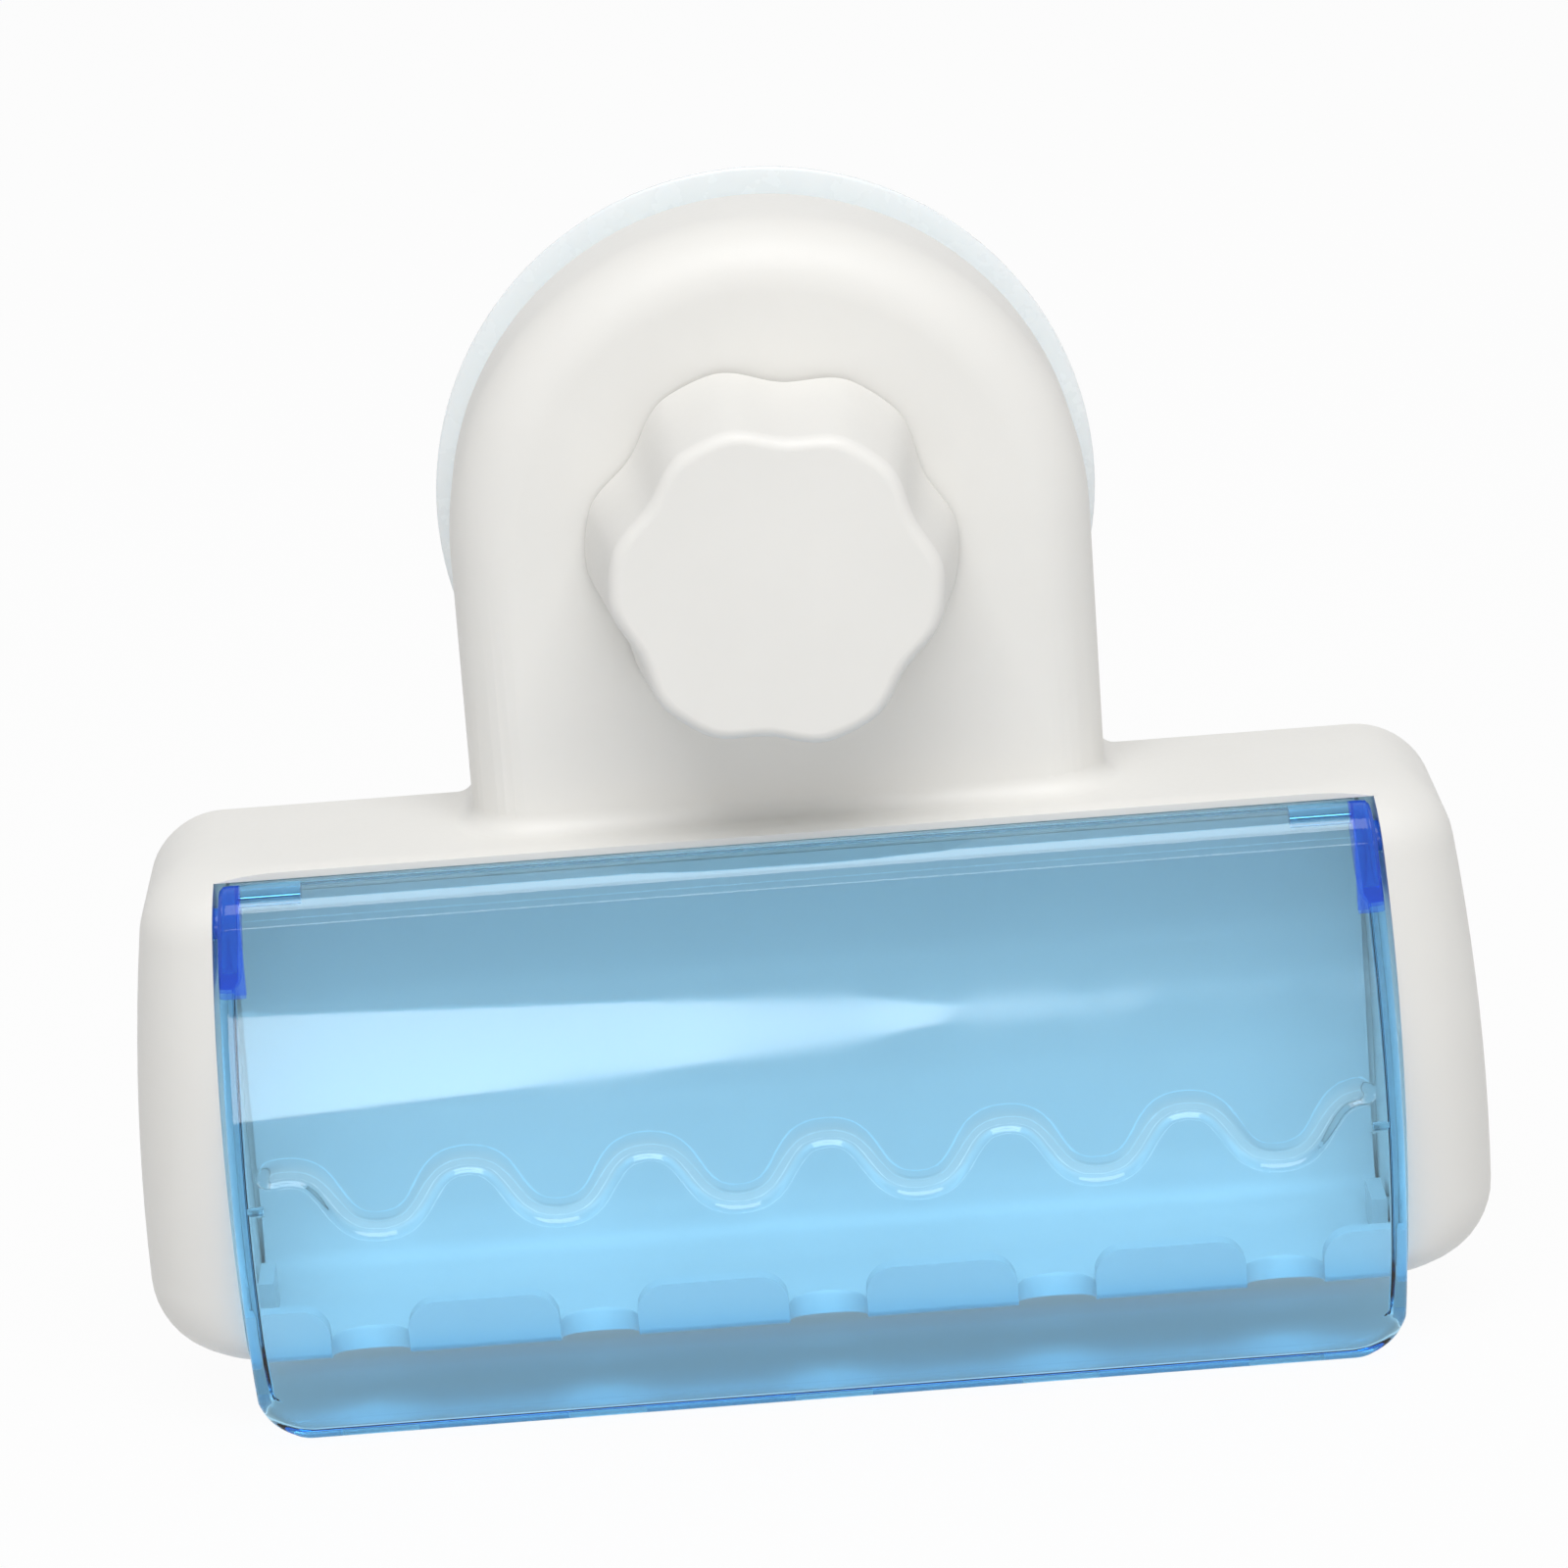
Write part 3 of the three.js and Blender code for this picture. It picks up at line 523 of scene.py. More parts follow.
def turned_brass(name):
    """Brass with fine turning marks."""
    material, tree, shader = new_material(name)
    marks = add_noise(tree, 900, 4)
    colour = finishes().brass
    tone = add_ramp(tree, marks, shaded(colour, 0.8), shaded(colour, 1.0))
    tree.links.new(tone.outputs["Color"], shader.inputs["Base Color"])
    gloss = add_ramp(tree, marks, grey(0.25), grey(0.45))
    tree.links.new(gloss.outputs["Color"], shader.inputs["Roughness"])
    shader.inputs["Metallic"].default_value = 1.0
    add_bump(tree, shader, marks, 0.1, 0.00003)
    return material


# Housing
def eased_in(depth, radius):
    """How far a round edge draws back at a depth below its start."""
    if depth >= radius:
        return 0.0
    return radius - math.sqrt(radius**2 - (radius - depth) ** 2)


def bowed(share, start, pull, end):
    return (1 - share) ** 2 * start + 2 * share * (1 - share) * pull + share**2 * end


def rounded_front(half, front, radius, back, z):
    """A level section, straight at the back and with two round corners at the front."""
    left = arc((-half + radius, front + radius), radius, 180, 270, 14)
    right = arc((half - radius, front + radius), radius, 270, 360, 14)
    return [point(x, y, z) for x, y in [(half, back), (-half, back), *left, *right]]


def box_body(name, inset, back):
    top = BOX_TOP_Z - inset
    low = BOX_BOTTOM_Z + inset
    low_round = BOX_LOW_ROUND - inset
    top_round = BOX_TOP_ROUND - inset
    quarter = [math.radians(90 * i / 12) for i in range(13)]
    levels = [low + low_round * (1 - math.cos(a)) for a in quarter]
    levels += [mix(low + low_round, top - top_round, i / 10) for i in range(1, 10)]
    levels += [top - top_round * (1 - math.sin(a)) for a in quarter]
    rings = []
    for z in levels:
        share = (BOX_TOP_Z - z) / (BOX_TOP_Z - BOX_BOTTOM_Z)
        corner = eased_in(top - z, top_round) + eased_in(z - low, low_round)
        edge = eased_in(top - z, BOX_BROW_ROUND - inset) + eased_in(z - low, BOX_CHIN_ROUND - inset)
        half = bowed(share, BOX_TOP_HALF, BOX_BULGE_HALF, BOX_LOW_HALF) - inset - corner
        front = bowed(share, BOX_FRONT_Y, BOX_BULGE_Y, BOX_FRONT_Y) + inset + edge
        rings.append(rounded_front(half, front, BOX_PLAN_ROUND - inset, back, z))
    return stacked(name, rings)


def flare(z):
    """How far the sides of the bay and of the cover bow out at a height."""
    return FLARE * max(0.0, 1 - ((z - FLARE_MID_Z) / FLARE_REACH) ** 2)


def flared_bar(name, half, top, low, y0, y1):
    """A block with bowed sides, seen from the front."""
    heights = [mix(top, low, i / 36) for i in range(37)]
    right = [(half + flare(z), z) for z in heights]
    left = [(-x, z) for x, z in reversed(right)]
    return along_y(name, right + left, y0, y1)


def arch_body(name, inset, back, foot):
    half = sizes().arch_radius / MM - inset
    edge = sizes().arch_round / MM - inset
    face = ARCH_FACE_Y + inset
    draw = [(0.0, back)]
    for i in range(11):
        angle = math.radians(9 * i)
        draw.append((edge * (1 - math.cos(angle)), face + edge * (1 - math.sin(angle))))
    rings = []
    for shrink, y in draw:
        outline = [(half - shrink, foot), *arc((0, 0), half - shrink, 0, 180, 72), (shrink - half, foot)]
        rings.append([point(x, y, z) for x, z in outline])
    return stacked(name, rings)


def arch_foot(name):
    """The hollow fillet where the arch stands on the box."""
    half = sizes().arch_radius / MM
    edge = sizes().arch_round / MM
    spreads = [(FOOT_ROUND, BOX_TOP_Z - FOOT_SINK)]
    for i in range(9):
        angle = math.radians(90 * i / 8)
        spread = FOOT_ROUND * (1 - math.sin(angle))
        spreads.append((spread, BOX_TOP_Z + FOOT_ROUND * (1 - math.cos(angle))))
    rings = [rounded_front(half + s, ARCH_FACE_Y - s, edge + s, BACK_Y, z) for s, z in spreads]
    return stacked(name, rings)


def stud_section(clearance):
    """A round with two flats."""
    flat = STUD_FLAT + clearance
    return [(max(-flat, min(flat, x)), z) for x, z in disc((0, 0), STUD_R + clearance, 64)]


def make_housing():
    piece = box_body("housing_moulding", 0, BACK_Y)
    join(piece, arch_body("arch", 0, BACK_Y, BOX_TOP_Z - FOOT_SINK), arch_foot("foot"))
    roof_low = BOX_TOP_Z - ROOF
    cut(piece, flared_bar("bay", BAY_HALF, roof_low, PAST_LOW_Z, BACK_Y - WALL, PAST_FRONT_Y))
    cut(piece, flared_bar("mouth", BAY_HALF, BOX_TOP_Z + 1, PAST_LOW_Z, ROOF_FRONT_Y, PAST_FRONT_Y))
    pockets = box_body("pockets", WALL, 1)
    between = flared_bar("between", BAY_HALF + WALL, -20, PAST_LOW_Z, PAST_BACK_Y, PAST_FRONT_Y)
    cut(pockets, between)
    hollow = arch_body("hollow", WALL, 1, BOX_TOP_Z)
    cut(piece, pockets, hollow)
    ring_outer, guide_r, face = 36.2, 10.0, ARCH_FACE_Y + 1
    ring_inner = ring_outer - WALL
    ring = [(ring_inner, BACK_Y), (ring_outer, BACK_Y), (ring_outer, face), (ring_inner, face)]
    join(piece, turned("bearing_ring", ring), along_y("guide", disc((0, 0), guide_r), -18.5, face))
    for i in range(6):
        join(piece, web("web", guide_r - 0.8, ring_inner + 0.8, 1.8, -21, face, 30 + 60 * i))
    cut(piece, along_y("stud_way", stud_section(0.5), PAST_BACK_Y, PAST_FRONT_Y))
    for side in (-1, 1):
        reach = (side * (BAY_HALF - 1), side * (BAY_HALF + FLARE + WALL))
        cut(piece, along_x("pin_hole", disc((PIVOT_Y, PIVOT_Z), PIN_R + GAP), *reach))
        cut(piece, along_x("peg_hole", disc((PEG_Y, PEG_Z), PEG_R + GAP), *reach))
    soften(piece, sizes().edge_round)
    finish_piece(piece, "housing", moulded_plastic("white_moulding", finishes().moulding, 0.44, 0.54))


# Brush rack
def slot_tools(x):
    """A throat cut back from the front edge and the round shoulders of the teeth beside it."""
    half = sizes().slot_width / MM / 2
    radius = sizes().tooth_round / MM
    wide = half + radius
    floor = BOX_BOTTOM_Z + RACK_T
    throat = []
    for z, lean in ((BOX_BOTTOM_Z - 5, -1.2), (floor - 0.7, 0.1), (floor, 0.6), (TOOTH_TOP_Z + 1, 0.6)):
        ring = [(x - half, RACK_FRONT_Y - 5), (x + half, RACK_FRONT_Y - 5)]
        ring += arc((x, SLOT_BACK_Y + lean - half), half, 0, 180, 24)
        throat.append([point(a, b, z) for a, b in ring])
    shoulders = [(x + wide, TOOTH_TOP_Z + 1), (x - wide, TOOTH_TOP_Z + 1)]
    shoulders += arc((x - wide, TOOTH_TOP_Z - radius), radius, 90, 0, 10)
    shoulders += arc((x + wide, TOOTH_TOP_Z - radius), radius, 180, 90, 10)
    front = RACK_FRONT_Y + RACK_T + 1
    return (
        stacked("throat", throat),
        along_y("shoulders", shoulders, front, front - RACK_T - 5),
    )


def make_rack():
    back = BACK_Y - WALL - GAP
    floor = BOX_BOTTOM_Z + RACK_T
    radius = RACK_EDGE_ROUND
    face = back - LINER_T
    section = [(back, BOX_BOTTOM_Z), (back, LINER_TOP_Z), (face, LINER_TOP_Z), (face, COVE_TOP_Z)]
    section += curve([(face, COVE_TOP_Z), (face, floor), (back - COVE_REACH, floor)], 16)
    section += [(RACK_FRONT_Y + RACK_T, floor), (RACK_FRONT_Y + RACK_T, TOOTH_TOP_Z)]
    section += [(RACK_FRONT_Y, TOOTH_TOP_Z)]
    section += arc((RACK_FRONT_Y + radius, BOX_BOTTOM_Z + radius), radius, 180, UNDER_TURN, 8)
    section += [(SLOT_BACK_Y, BOX_BOTTOM_Z - UNDER_DROP), (SLOT_BACK_Y + UNDER_T, BOX_BOTTOM_Z - UNDER_DROP)]
    section += [(SLOT_BACK_Y + UNDER_T + 1, BOX_BOTTOM_Z)]
    piece = along_x("brush_rack_moulding", section, -RACK_HALF, RACK_HALF)
    sides = flared_bar("sides", BAY_HALF - 0.5, 0, PAST_LOW_Z, PAST_BACK_Y, PAST_FRONT_Y)
    combine(piece, "INTERSECT", sides)
    end = [(PEG_Y - 4, BOX_BOTTOM_Z + 1), (PEG_Y + 4, BOX_BOTTOM_Z + 1)]
    end += [(PEG_Y + 4, PEG_Z + 3), (PEG_Y - 4, PEG_Z + 3)]
    for side in (-1, 1):
        join(piece, along_x("end", end, side * (RACK_HALF - RACK_T), side * RACK_HALF))
        peg_end = BAY_HALF + FLARE + 1.4
        join(piece, along_x("peg", disc((PEG_Y, PEG_Z), PEG_R), side * (RACK_HALF - 1), side * peg_end))
    for i in range(SLOTS):
        cut(piece, *slot_tools((i - (SLOTS - 1) / 2) * SLOT_PITCH))
    soften(piece, sizes().edge_round)
    # The rack's greyer colour is painted shade for the dim bay, not a different plastic
    finish_piece(piece, "brush_rack", moulded_plastic("rack_white", finishes().rack, 0.35, 0.45))


# Flip cover
def cover_sweep(share):
    """A point (y, z) of the cover's front sweep and its outward normal."""
    start = Vector((PIVOT_Y - COVER_TOP_R, PIVOT_Z))
    pulls = Vector((start.x, SWEEP_TOP_PULL_Z)), Vector(SWEEP_LOW_PULL)
    end = Vector((LIP_Y, LIP_Z))
    a, b, c = start.lerp(pulls[0], share), pulls[0].lerp(pulls[1], share), pulls[1].lerp(end, share)
    d, e = a.lerp(b, share), b.lerp(c, share)
    down = (e - d).normalized()
    return d.lerp(e, share), Vector((down.y, -down.x))


def sweep_at(z):
    low, high = 0.0, 1.0
    for _ in range(40):
        middle = (low + high) / 2
        if cover_sweep(middle)[0].y > z:
            low = middle
        else:
            high = middle
    return cover_sweep(low)


def wave_bend(x):
    """The wave's swing between -1 and 1, with full bends and steep flanks."""
    swing = math.cos(2 * math.pi * (x - WAVE_SHIFT) / (sizes().wave_length / MM))
    return math.tanh(WAVE_FULLNESS * swing) / math.tanh(WAVE_FULLNESS)


def groove_depth(x, z):
    """How deep the wavy groove is at a place. Its wall is steep inside each bend and soft outside."""
    steep, soft = 0.9, 1.5
    probes, spacing = 14, 0.25
    height = sizes().wave_height / MM
    if abs(z - WAVE_Z) > height + WAVE_BAND:
        return 0.0
    nearest = WAVE_BAND
    for i in range(-probes, probes + 1):
        at = max(-WAVE_HALF, min(WAVE_HALF, x + spacing * i))
        nearest = min(nearest, math.hypot(at - x, WAVE_Z + height * wave_bend(at) - z))
    bend = wave_bend(x)
    outside = bend if z > WAVE_Z + height * bend else -bend
    wall = mix(steep, soft, (1 + outside) / 2)
    share = min(1.0, (WAVE_BAND - nearest) / wall)
    return sizes().groove_depth / MM * share * share * (3 - 2 * share)


def wall_at(z):
    """The cover's thickness, which grows towards the lip."""
    share = max(0.0, min(1.0, (LIP_START_Z - z) / (LIP_START_Z - LIP_FULL_Z)))
    return mix(sizes().cover_wall / MM, LIP_T, share * share * (3 - 2 * share))


def cover_rows():
    """The rows of the cover from its rolled top edge to the lip: place, normal, and the depths of
    its outer and inner face, which close in on each other at both ends."""
    wall = sizes().cover_wall / MM
    turns = [math.radians(15 * i) for i in range(6)]
    rolled = []
    for turn in reversed(turns):
        draw = ROLL_T / 2 * (1 - math.cos(turn))
        past = math.degrees(ROLL_T / 2 * math.sin(turn) / COVER_TOP_R)
        rolled.append((ROLL_END - past, draw, ROLL_T - draw))
    rolled += [(mix(ROLL_END, 180, i / 20), 0.0, mix(ROLL_T, wall, i / 20)) for i in range(1, 20)]
    made = []
    for angle, outer, inner in rolled:
        normal = Vector((math.cos(math.radians(angle)), math.sin(math.radians(angle))))
        made.append((Vector((PIVOT_Y, PIVOT_Z)) + COVER_TOP_R * normal, normal, outer, inner))
    heights = [mix(PIVOT_Z, FINE_TOP_Z, i / 16) for i in range(16)]
    heights += [mix(FINE_TOP_Z, FINE_LOW_Z, i / 60) for i in range(60)]
    heights += [mix(FINE_LOW_Z, LIP_ROWS_Z, i / 12) for i in range(12)]
    heights += [mix(LIP_ROWS_Z, LIP_Z, i / 12) for i in range(13)]
    made += [(*sweep_at(z), 0.0, wall_at(z)) for z in heights]
    end, normal = sweep_at(LIP_Z)
    for turn in turns:
        draw = LIP_EDGE * (1 - math.cos(turn))
        drop = wall / 2 - LIP_EDGE + LIP_EDGE * math.sin(turn)
        made.append((end + Vector((0, -drop)), normal, draw, LIP_T - draw))
    return made


def cover_ring(place, normal, outer, inner):
    """One row's closed section: face, side flange, and back along the inside."""
    z = place.y
    height = z - (LIP_Z - sizes().cover_wall / MM / 2)
    half = COVER_HALF + flare(z) - eased_in(max(height, 0.0), COVER_CORNER)
    fade, past_wall, short_of_pivot = 1.5, 1.6, 0.6
    flanged = max(0.0, min(1.0, (z - FLANGE_LOW_Z) / fade))
    depth = max(FLANGE_DEPTH, inner + past_wall) if z < PIVOT_Z else COVER_TOP_R - short_of_pivot
    corner, fillet, back = 1.1, 0.4, FLANGE_T / 2
    with_flange = arc((half - corner, outer + corner), corner, -90, 0, 6)
    with_flange += [(half, mix(outer + corner, depth - back, 0.5))]
    with_flange += arc((half - back, depth - back), back, 0, 180, 8)
    with_flange += [(half - FLANGE_T, mix(inner + fillet, depth - back, 0.5))]
    with_flange += arc((half - FLANGE_T - fillet, inner + fillet), fillet, 0, -90, 4)
    middle = (inner + outer) / 2
    tip = (inner - outer) / 2
    round_end = arc((half - tip, middle), tip, -90, 90, 15)
    inside = [(mix(half - tip, half - 4, i / 6), inner) for i in range(1, 7)]
    without = round_end + inside
    right = [Vector(a).lerp(Vector(b), flanged) for a, b in zip(without, with_flange)]
    left = [Vector((-spot.x, spot.y)) for spot in reversed(right)]
    reach = right[0].x
    face = [mix(-reach, reach, i / 400) for i in range(1, 400)]
    face = [(x, outer + groove_depth(x, z)) for x in face]
    inside_reach = right[-1].x
    inside = [(mix(inside_reach, -inside_reach, i / 60), inner) for i in range(1, 60)]
    section = [*face, *right, *inside, *left]
    return [point(x, place.x - normal.x * depth, z - normal.y * depth) for x, depth in section]


def cover_ear(side):
    """Thick hinge ear round the pivot."""
    sunk, edge = 0.05, 0.5
    start = arc((PIVOT_Y, PIVOT_Z), COVER_TOP_R - sunk, 50, 180, 20)
    front = PIVOT_Y - COVER_TOP_R + sunk
    low = (front + 6, EAR_LOW_Z - 1)
    outline = start + [(front, EAR_LOW_Z + 4)]
    outline += curve([(front, EAR_LOW_Z + 4), (front, EAR_LOW_Z - 1), low], 8)
    outline += curve([low, (EAR_BACK_Y, EAR_LOW_Z - 1), (EAR_BACK_Y, PIVOT_Z - 2)], 8)
    outline += curve([(EAR_BACK_Y, PIVOT_Z - 2), (EAR_BACK_Y, PIVOT_Z + 1.3), start[0]], 8)[:-1]
    middle = Vector((PIVOT_Y, PIVOT_Z))
    rings = []
    for inward, shrink in ((EAR_T, edge), (EAR_T - edge, 0), (sunk + edge, 0), (sunk, edge)):
        ring = []
        for y, z in outline:
            away = (Vector((y, z)) - middle).normalized() * shrink
            ring.append(point(side * (COVER_HALF + flare(z) - inward), y - away.x, z - away.y))
        rings.append(ring)
    return stacked("ear", rings)


def cover_details(side):
    """Pivot stub, the short rib beside the ear and the small gusset."""
    rib = arc((PIVOT_Y, PIVOT_Z), COVER_TOP_R - 0.4, *RIB_ANGLES, 10)
    rib += arc((PIVOT_Y, PIVOT_Z), RIB_INNER_R, *reversed(RIB_ANGLES), 8)
    rib_end = COVER_HALF - EAR_T - RIB_LENGTH
    pin_end = BAY_HALF + flare(PIVOT_Z) + WALL - GAP
    front = sweep_at(GUSSET_Z)[0].x
    edge = COVER_HALF + flare(GUSSET_Z) - 0.4
    low, high = GUSSET_Z - GUSSET_T / 2, GUSSET_Z + GUSSET_T / 2
    y0, y1 = front + 0.5, front + FLANGE_DEPTH - 0.4
    gusset = [(y0, low), (y1, low), (y1, high), (y0, high)]
    return (
        along_x("rib", rib, side * rib_end, side * (COVER_HALF - 1)),
        along_x("pin", disc((PIVOT_Y, PIVOT_Z), PIN_R, 32), side * (COVER_HALF - 1), side * pin_end),
        along_x("gusset", gusset, side * (edge - FLANGE_T - 1.5), side * edge),
    )


def make_cover():
    piece = stacked("flip_cover_moulding", [cover_ring(*row) for row in cover_rows()])
    for side in (-1, 1):
        join(piece, cover_ear(side), *cover_details(side))
    finish_piece(piece, "flip_cover", clear_blue("clear_blue"), angle=40)


# Suction cup and the pieces on its stud
def make_cup():
    rim = sizes().cup_radius / MM
    inside = [(0, -2.8), (10, -2.7), (15, -2.4), (20, -2.0), (25, -1.5), (30, -0.9), (34, -0.25), (36, 0)]
    lip = [(rim - 0.5, 0), *arc((rim - 0.5, -0.5), 0.5, 60, 0, 3)]
    back = [(rim, -1.3), (rim - 0.4, -1.6), (42, -1.95), (40, -2.3), (38, -2.45), (36, -2.6), (32, -3.1)]
    back += [(28, -3.6), (24, -4.0), (20, -4.4), (15, -4.8), (13.4, -5.1), (12.7, -5.6)]
    hub = [(HUB_R, -6.4), (HUB_R, HUB_TOP_Y + 1), *arc((HUB_R - 1, HUB_TOP_Y + 1), 1, -20, -90, 4)]
    way = STUD_R + GAP
    head = HEAD_R + GAP
    room = [(way, HUB_TOP_Y), (way, HEAD_FRONT_Y - GAP), (head, HEAD_FRONT_Y - GAP)]
    room += [(head, HEAD_BACK_Y + GAP), (0, HEAD_BACK_Y + GAP)]
    piece = turned("suction_cup_dish", [*inside, *lip, *back, *hub, *room], 128)
    dress_piece(piece, "suction_cup", soft_vinyl("soft_vinyl"))
    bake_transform(piece)


def thread_ring(y, crest, depth, flat):
    """One ring of a screw thread whose phase turns with the height."""
    pitch = sizes().thread_pitch / MM
    ring = []
    for i in range(64):
        angle = 2 * math.pi * i / 64
        phase = (y / pitch - angle / (2 * math.pi)) % 1
        radius = crest - depth * min(1.0, max(0.0, 2.4 * abs(phase - 0.5) - 0.2))
        x, z = radius * math.sin(angle), radius * math.cos(angle)
        ring.append(point(max(-flat, min(flat, x)), y, z))
    return ring


def make_stud():
    root = HEAD_FRONT_Y + 1
    piece = along_y("cup_stud_post", stud_section(0), root, STUD_TIP_Y + 18)
    levels = [mix(STUD_TIP_Y + 18.5, STUD_TIP_Y + 0.4, i / 60) for i in range(61)]
    rings = [thread_ring(y, STUD_R, 0.9, STUD_FLAT) for y in levels]
    rings.append([point(co.x / MM * 0.82, STUD_TIP_Y, co.z / MM * 0.82) for co in rings[-1]])
    head = [(0, HEAD_BACK_Y), (HEAD_R, HEAD_BACK_Y), (HEAD_R, HEAD_FRONT_Y), (0, HEAD_FRONT_Y)]
    join(piece, stacked("thread", rings), turned("head", head))
    finish_piece(piece, "cup_stud", moulded_plastic("stud_white", finishes().fitting, 0.35, 0.5))


def make_disc():
    front, web_y, rim_y = BACK_Y + 0.4, -5.3, -2.9
    bore, outer = 14.5, 40.4
    rim = [(bore, web_y), (35.5, web_y), (36.3, rim_y), (outer - 0.6, rim_y), (outer, rim_y - 0.6)]
    rim += [(outer, front), (bore, front)]
    piece = turned("press_disc_ring", rim)
    for i in range(8):
        join(piece, web("rib", 17, 35, 1.6, web_y + 0.85, web_y - 0.15, 45 * i))
    cup = [(44.2, -1.6), (40, -2.3), (36, -2.6), (28, -3.6), (20, -4.4), (15, -4.8), (0, -4.8)]
    clear = [(0, 0), (44.2, 0)] + [(radius, y - GAP) for radius, y in cup]
    cut(piece, turned("cup_clearance", clear))
    soften(piece, sizes().edge_round / 2)
    finish_piece(piece, "press_disc", moulded_plastic("disc_white", finishes().fitting, 0.45, 0.55))


def make_washer():
    back = ARCH_FACE_Y - GAP
    front = back - WASHER_T
    ring = [(WASHER_INNER, back), (WASHER_OUTER, back), (WASHER_OUTER, front), (WASHER_INNER, front)]
    piece = turned("slip_washer_ring", ring, 72)
    soften(piece, sizes().edge_round / 2)
    finish_piece(piece, "slip_washer", moulded_plastic("washer_white", finishes().fitting, 0.45, 0.55))


def knob_ring(y, inset, steps):
    """A round with six scallops that get shallower towards the face."""
    share = (y - KNOB_BASE_Y) / (KNOB_FACE_Y - KNOB_BASE_Y)
    outer = mix(KNOB_BASE_R, KNOB_FACE_R, share) - inset
    scallop = mix(SCALLOP_BASE, SCALLOP_FACE, share)
    period = 2 * math.pi / KNOB_LOBES
    ring = []
    for i in range(steps):
        angle = 2 * math.pi * i / steps
        off = abs((angle % period) - period / 2)
        dip = math.cos(math.pi / 2 * off / SCALLOP_HALF) ** 2 if off < SCALLOP_HALF else 0.0
        radius = outer - scallop * dip
        turn = angle + KNOB_TURN
        ring.append(point(radius * math.cos(turn), y, radius * math.sin(turn)))
    return ring


def hexagon(half_flats):
    reach = half_flats / math.cos(math.radians(30))
    return arc((0, 0), reach, math.degrees(KNOB_TURN), math.degrees(KNOB_TURN) + 300, 5)


def make_knob():
    skirt = [(KNOB_BASE_Y, 0.5), (KNOB_BASE_Y - 0.15, 0.15), (KNOB_BASE_Y - 0.5, 0.0)]
    skirt += [(mix(KNOB_BASE_Y, KNOB_FACE_Y, share), 0.0) for share in (0.2, 0.4, 0.6, 0.8)]
    for i in range(9):
        angle = math.radians(90 * i / 8)
        skirt.append((KNOB_FACE_Y + KNOB_EDGE * (1 - math.sin(angle)), KNOB_EDGE * (1 - math.cos(angle))))
    piece = stacked("knob_moulding", [knob_ring(y, inset, 216) for y, inset in skirt])
    floor = KNOB_FACE_Y + 2.4
    cut(piece, stacked("hollow", [knob_ring(y, WALL, 144) for y in (KNOB_BASE_Y + 1, floor)]))
    boss_back = ARCH_FACE_Y - GAP - WASHER_T - GAP
    join(piece, along_y("boss", disc((0, 0), KNOB_BOSS_R, 64), boss_back, floor - 1))
    for i in range(KNOB_LOBES):
        turn = math.degrees(KNOB_TURN) + 60 * i
        join(piece, web("web", KNOB_BOSS_R - 1, KNOB_FACE_R - 1.5, 1.6, floor + 13, floor - 1, turn))
    cut(piece, along_y("nut_pocket", hexagon(NUT_HALF_FLATS + GAP), boss_back + 1, NUT_FRONT_Y - GAP))
    cut(piece, along_y("relief", disc((0, 0), STUD_R + 0.8), NUT_FRONT_Y + 1, floor + 1))
    finish_piece(piece, "knob", moulded_plastic("knob_white", finishes().moulding, 0.42, 0.52))


def make_nut():
    piece = along_y("knob_nut_body", hexagon(NUT_HALF_FLATS), NUT_BACK_Y, NUT_FRONT_Y)
    reach = NUT_HALF_FLATS / math.cos(math.radians(30))
    chamfer = 0.9
    blank = [(0, NUT_BACK_Y), (reach - chamfer, NUT_BACK_Y), (reach + 0.1, NUT_BACK_Y - chamfer)]
    blank += [(reach + 0.1, NUT_FRONT_Y + chamfer), (reach - chamfer, NUT_FRONT_Y), (0, NUT_FRONT_Y)]
    combine(piece, "INTERSECT", turned("blank", blank))
    levels = [mix(NUT_BACK_Y + 0.5, NUT_FRONT_Y - 0.5, i / 40) for i in range(41)]
    cut(piece, stacked("tapped_bore", [thread_ring(y, STUD_R + GAP, 0.9, 20) for y in levels]))
    finish_piece(piece, "knob_nut", turned_brass("turned_brass"))


# Stage
def show_white(tree, shader_socket, seen, through):
    """Mixes a shader with plain white: one share where the camera or a reflection looks at it, and
    another where it is seen through clear plastic."""
    ray = tree.nodes.new("ShaderNodeLightPath").outputs
    looks = add_math(tree, "MAXIMUM", ray["Is Camera Ray"], ray["Is Glossy Ray"])
    share = add_math(tree, "MULTIPLY", looks, seen)
    share = add_math(tree, "MULTIPLY_ADD", ray["Is Transmission Ray"], through - seen, share)
    both = tree.nodes.new("ShaderNodeMixShader")
    tree.links.new(share, both.inputs["Fac"])
    tree.links.new(shader_socket, both.inputs[1])
    return both


def add_softbox(name, place, aim, width, height, power):
    lamp = bpy.data.lights.new(name, "AREA")
    lamp.shape = "RECTANGLE"
    lamp.size = width
    lamp.size_y = height
    lamp.energy = power
    softbox = bpy.data.objects.new(name, lamp)
    bpy.context.scene.collection.objects.link(softbox)
    softbox.location = place
    direction = Vector(aim) - Vector(place)
    softbox.rotation_euler = direction.to_track_quat("-Z", "Y").to_euler()
    softbox.visible_camera = False
    return softbox


def add_front_strip(name, low_left, low_right):
    """A low strip light that stands on a sloping line. The cover mirrors its lower edge as a band."""
    height, power_per_area = 0.035, 15.5
    span = Vector(low_right) - Vector(low_left)
    along = span.normalized()
    up = Vector((-along.z, 0, along.x))
    middle = Vector(low_left) + span / 2 + up * height / 2
    power = power_per_area * span.length * height
    strip = add_softbox(name, middle, middle + Vector((0, 1, 0)), span.length, height, power)
    strip.rotation_euler = Matrix((along, up, along.cross(up))).transposed().to_euler()


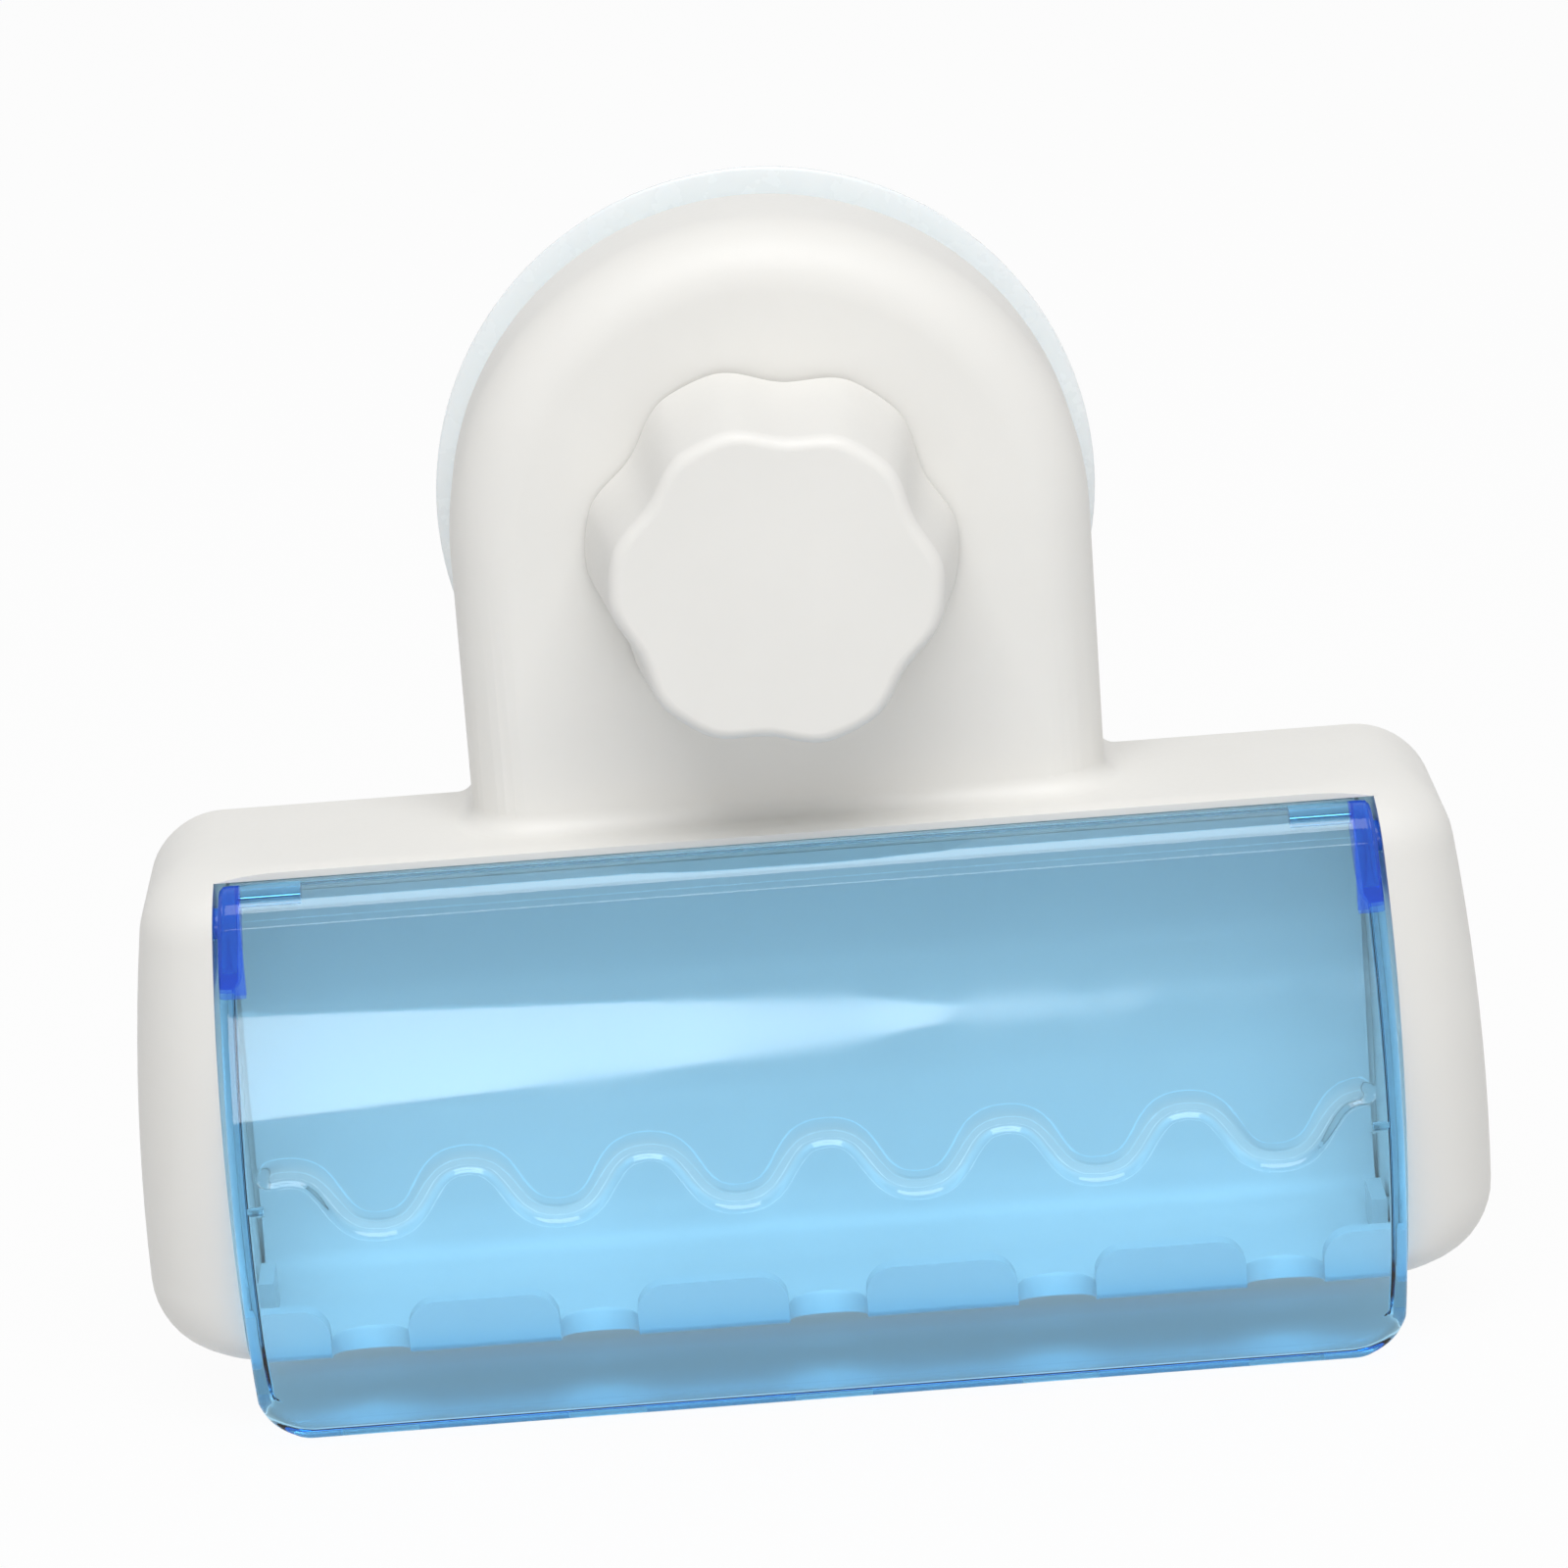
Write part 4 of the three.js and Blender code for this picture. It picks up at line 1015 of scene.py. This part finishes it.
def make_floor():
    height, seen, through = -0.1145, 0.95, 0.27
    deselect()
    bpy.ops.mesh.primitive_grid_add(x_subdivisions=8, y_subdivisions=8, size=8, location=(0, 0, height))
    floor = bpy.context.object
    floor.name = "studio_floor"
    material, tree, shader = new_material("studio_floor")
    shader.inputs["Base Color"].default_value = (*finishes().floor, 1)
    shader.inputs["Roughness"].default_value = 0.9
    white = tree.nodes.new("ShaderNodeEmission")
    both = show_white(tree, shader.outputs["BSDF"], seen, through)
    tree.links.new(white.outputs["Emission"], both.inputs[2])
    tree.links.new(both.outputs["Shader"], tree.nodes["Material Output"].inputs["Surface"])
    floor.data.materials.append(material)


def make_world():
    world = bpy.data.worlds.new("studio")
    world.use_nodes = True
    bpy.context.scene.world = world
    tree = world.node_tree
    light = tree.nodes["Background"]
    light.inputs["Color"].default_value = (1, 1, 1, 1)
    light.inputs["Strength"].default_value = 0.45
    white = tree.nodes.new("ShaderNodeBackground")
    white.inputs["Color"].default_value = (1, 1, 1, 1)
    both = show_white(tree, light.outputs["Background"], 1.0, 1.0)
    tree.links.new(white.outputs["Background"], both.inputs[2])
    tree.links.new(both.outputs["Shader"], tree.nodes["World Output"].inputs["Surface"])


def make_camera():
    azimuth, elevation, roll = (math.radians(a) for a in (-0.5, 17.0, 4.2))
    target = point(-0.67, -25, -33.8)
    distance, focal_pixels, frame_pixels, sensor_width = 0.8, 6182.3, 1600, 36
    level = Vector((math.sin(azimuth), -math.cos(azimuth), 0))
    back = level * math.cos(elevation) + Vector((0, 0, math.sin(elevation)))
    data = bpy.data.cameras.new("photo_camera")
    data.sensor_width = sensor_width
    data.lens = sensor_width * focal_pixels / frame_pixels
    camera = bpy.data.objects.new("photo_camera", data)
    bpy.context.scene.collection.objects.link(camera)
    camera.location = target + back * distance
    aim = (-back).to_track_quat("-Z", "Y").to_matrix()
    camera.rotation_euler = (aim @ Matrix.Rotation(-roll, 3, "Z")).to_euler()
    bpy.context.scene.camera = camera


def make_stage():
    make_floor()
    make_world()
    make_camera()
    add_softbox("key_softbox", (0.05, -0.75, 1.13), (0, -0.03, -0.05), 1.1, 0.8, 12.6)
    strip_left = (-0.22, -0.62, -0.1197)
    strip_bend = (0.04, -0.62, -0.1038)
    strip_right = (0.2, -0.62, -0.1021)
    add_front_strip("front_strip_left", strip_left, strip_bend)
    add_front_strip("front_strip_right", strip_bend, strip_right)
    bpy.context.scene.view_settings.view_transform = "Standard"


class AddHousing(bpy.types.Operator):
    """Adds the white housing with its arch, its hollow end caps and the bay"""

    bl_idname = "holder.add_housing"
    bl_label = "Housing"
    bl_options = {"REGISTER", "UNDO"}

    def execute(self, context):
        make_housing()
        return {"FINISHED"}


class AddRack(bpy.types.Operator):
    """Adds the comb rack with its five brush slots"""

    bl_idname = "holder.add_rack"
    bl_label = "Brush Rack"
    bl_options = {"REGISTER", "UNDO"}

    def execute(self, context):
        make_rack()
        return {"FINISHED"}


class AddCover(bpy.types.Operator):
    """Adds the clear blue flip cover with its wavy groove"""

    bl_idname = "holder.add_cover"
    bl_label = "Flip Cover"
    bl_options = {"REGISTER", "UNDO"}

    def execute(self, context):
        make_cover()
        return {"FINISHED"}


class AddCup(bpy.types.Operator):
    """Adds the soft suction cup"""

    bl_idname = "holder.add_cup"
    bl_label = "Suction Cup"
    bl_options = {"REGISTER", "UNDO"}

    def execute(self, context):
        make_cup()
        return {"FINISHED"}


class AddFittings(bpy.types.Operator):
    """Adds the stud, the press disc and the slip washer"""

    bl_idname = "holder.add_fittings"
    bl_label = "Hidden Fittings"
    bl_options = {"REGISTER", "UNDO"}

    def execute(self, context):
        make_stud()
        make_disc()
        make_washer()
        return {"FINISHED"}


class AddKnob(bpy.types.Operator):
    """Adds the hand knob and the brass nut in it"""

    bl_idname = "holder.add_knob"
    bl_label = "Knob"
    bl_options = {"REGISTER", "UNDO"}

    def execute(self, context):
        make_knob()
        make_nut()
        return {"FINISHED"}


class AddStage(bpy.types.Operator):
    """Adds the floor, the light and the camera"""

    bl_idname = "holder.add_stage"
    bl_label = "Stage"
    bl_options = {"REGISTER", "UNDO"}

    def execute(self, context):
        make_stage()
        return {"FINISHED"}


OPERATORS = (AddHousing, AddRack, AddCover, AddCup, AddFittings, AddKnob, AddStage)


class HolderPanel(bpy.types.Panel):
    """Lists the sizes, the colours and the pieces"""

    bl_idname = "VIEW3D_PT_holder"
    bl_label = "Toothbrush Holder"
    bl_space_type = "VIEW_3D"
    bl_region_type = "UI"
    bl_category = "Holder"

    def draw(self, context):
        for group in (context.scene.holder_sizes, context.scene.holder_finishes):
            for name in group.bl_rna.properties.keys():
                if name not in ("rna_type", "name"):
                    self.layout.prop(group, name)
        for operator in OPERATORS:
            self.layout.operator(operator.bl_idname)


CLASSES = (HolderSizes, HolderFinishes, *OPERATORS, HolderPanel)


def register():
    for item in CLASSES:
        bpy.utils.register_class(item)
    bpy.types.Scene.holder_sizes = bpy.props.PointerProperty(type=HolderSizes)
    bpy.types.Scene.holder_finishes = bpy.props.PointerProperty(type=HolderFinishes)


def unregister():
    del bpy.types.Scene.holder_finishes
    del bpy.types.Scene.holder_sizes
    for item in reversed(CLASSES):
        bpy.utils.unregister_class(item)


def main():
    register()
    bpy.ops.holder.add_housing()
    bpy.ops.holder.add_rack()
    bpy.ops.holder.add_cover()
    bpy.ops.holder.add_cup()
    bpy.ops.holder.add_fittings()
    bpy.ops.holder.add_knob()
    bpy.ops.holder.add_stage()


if __name__ == "__main__":
    main()
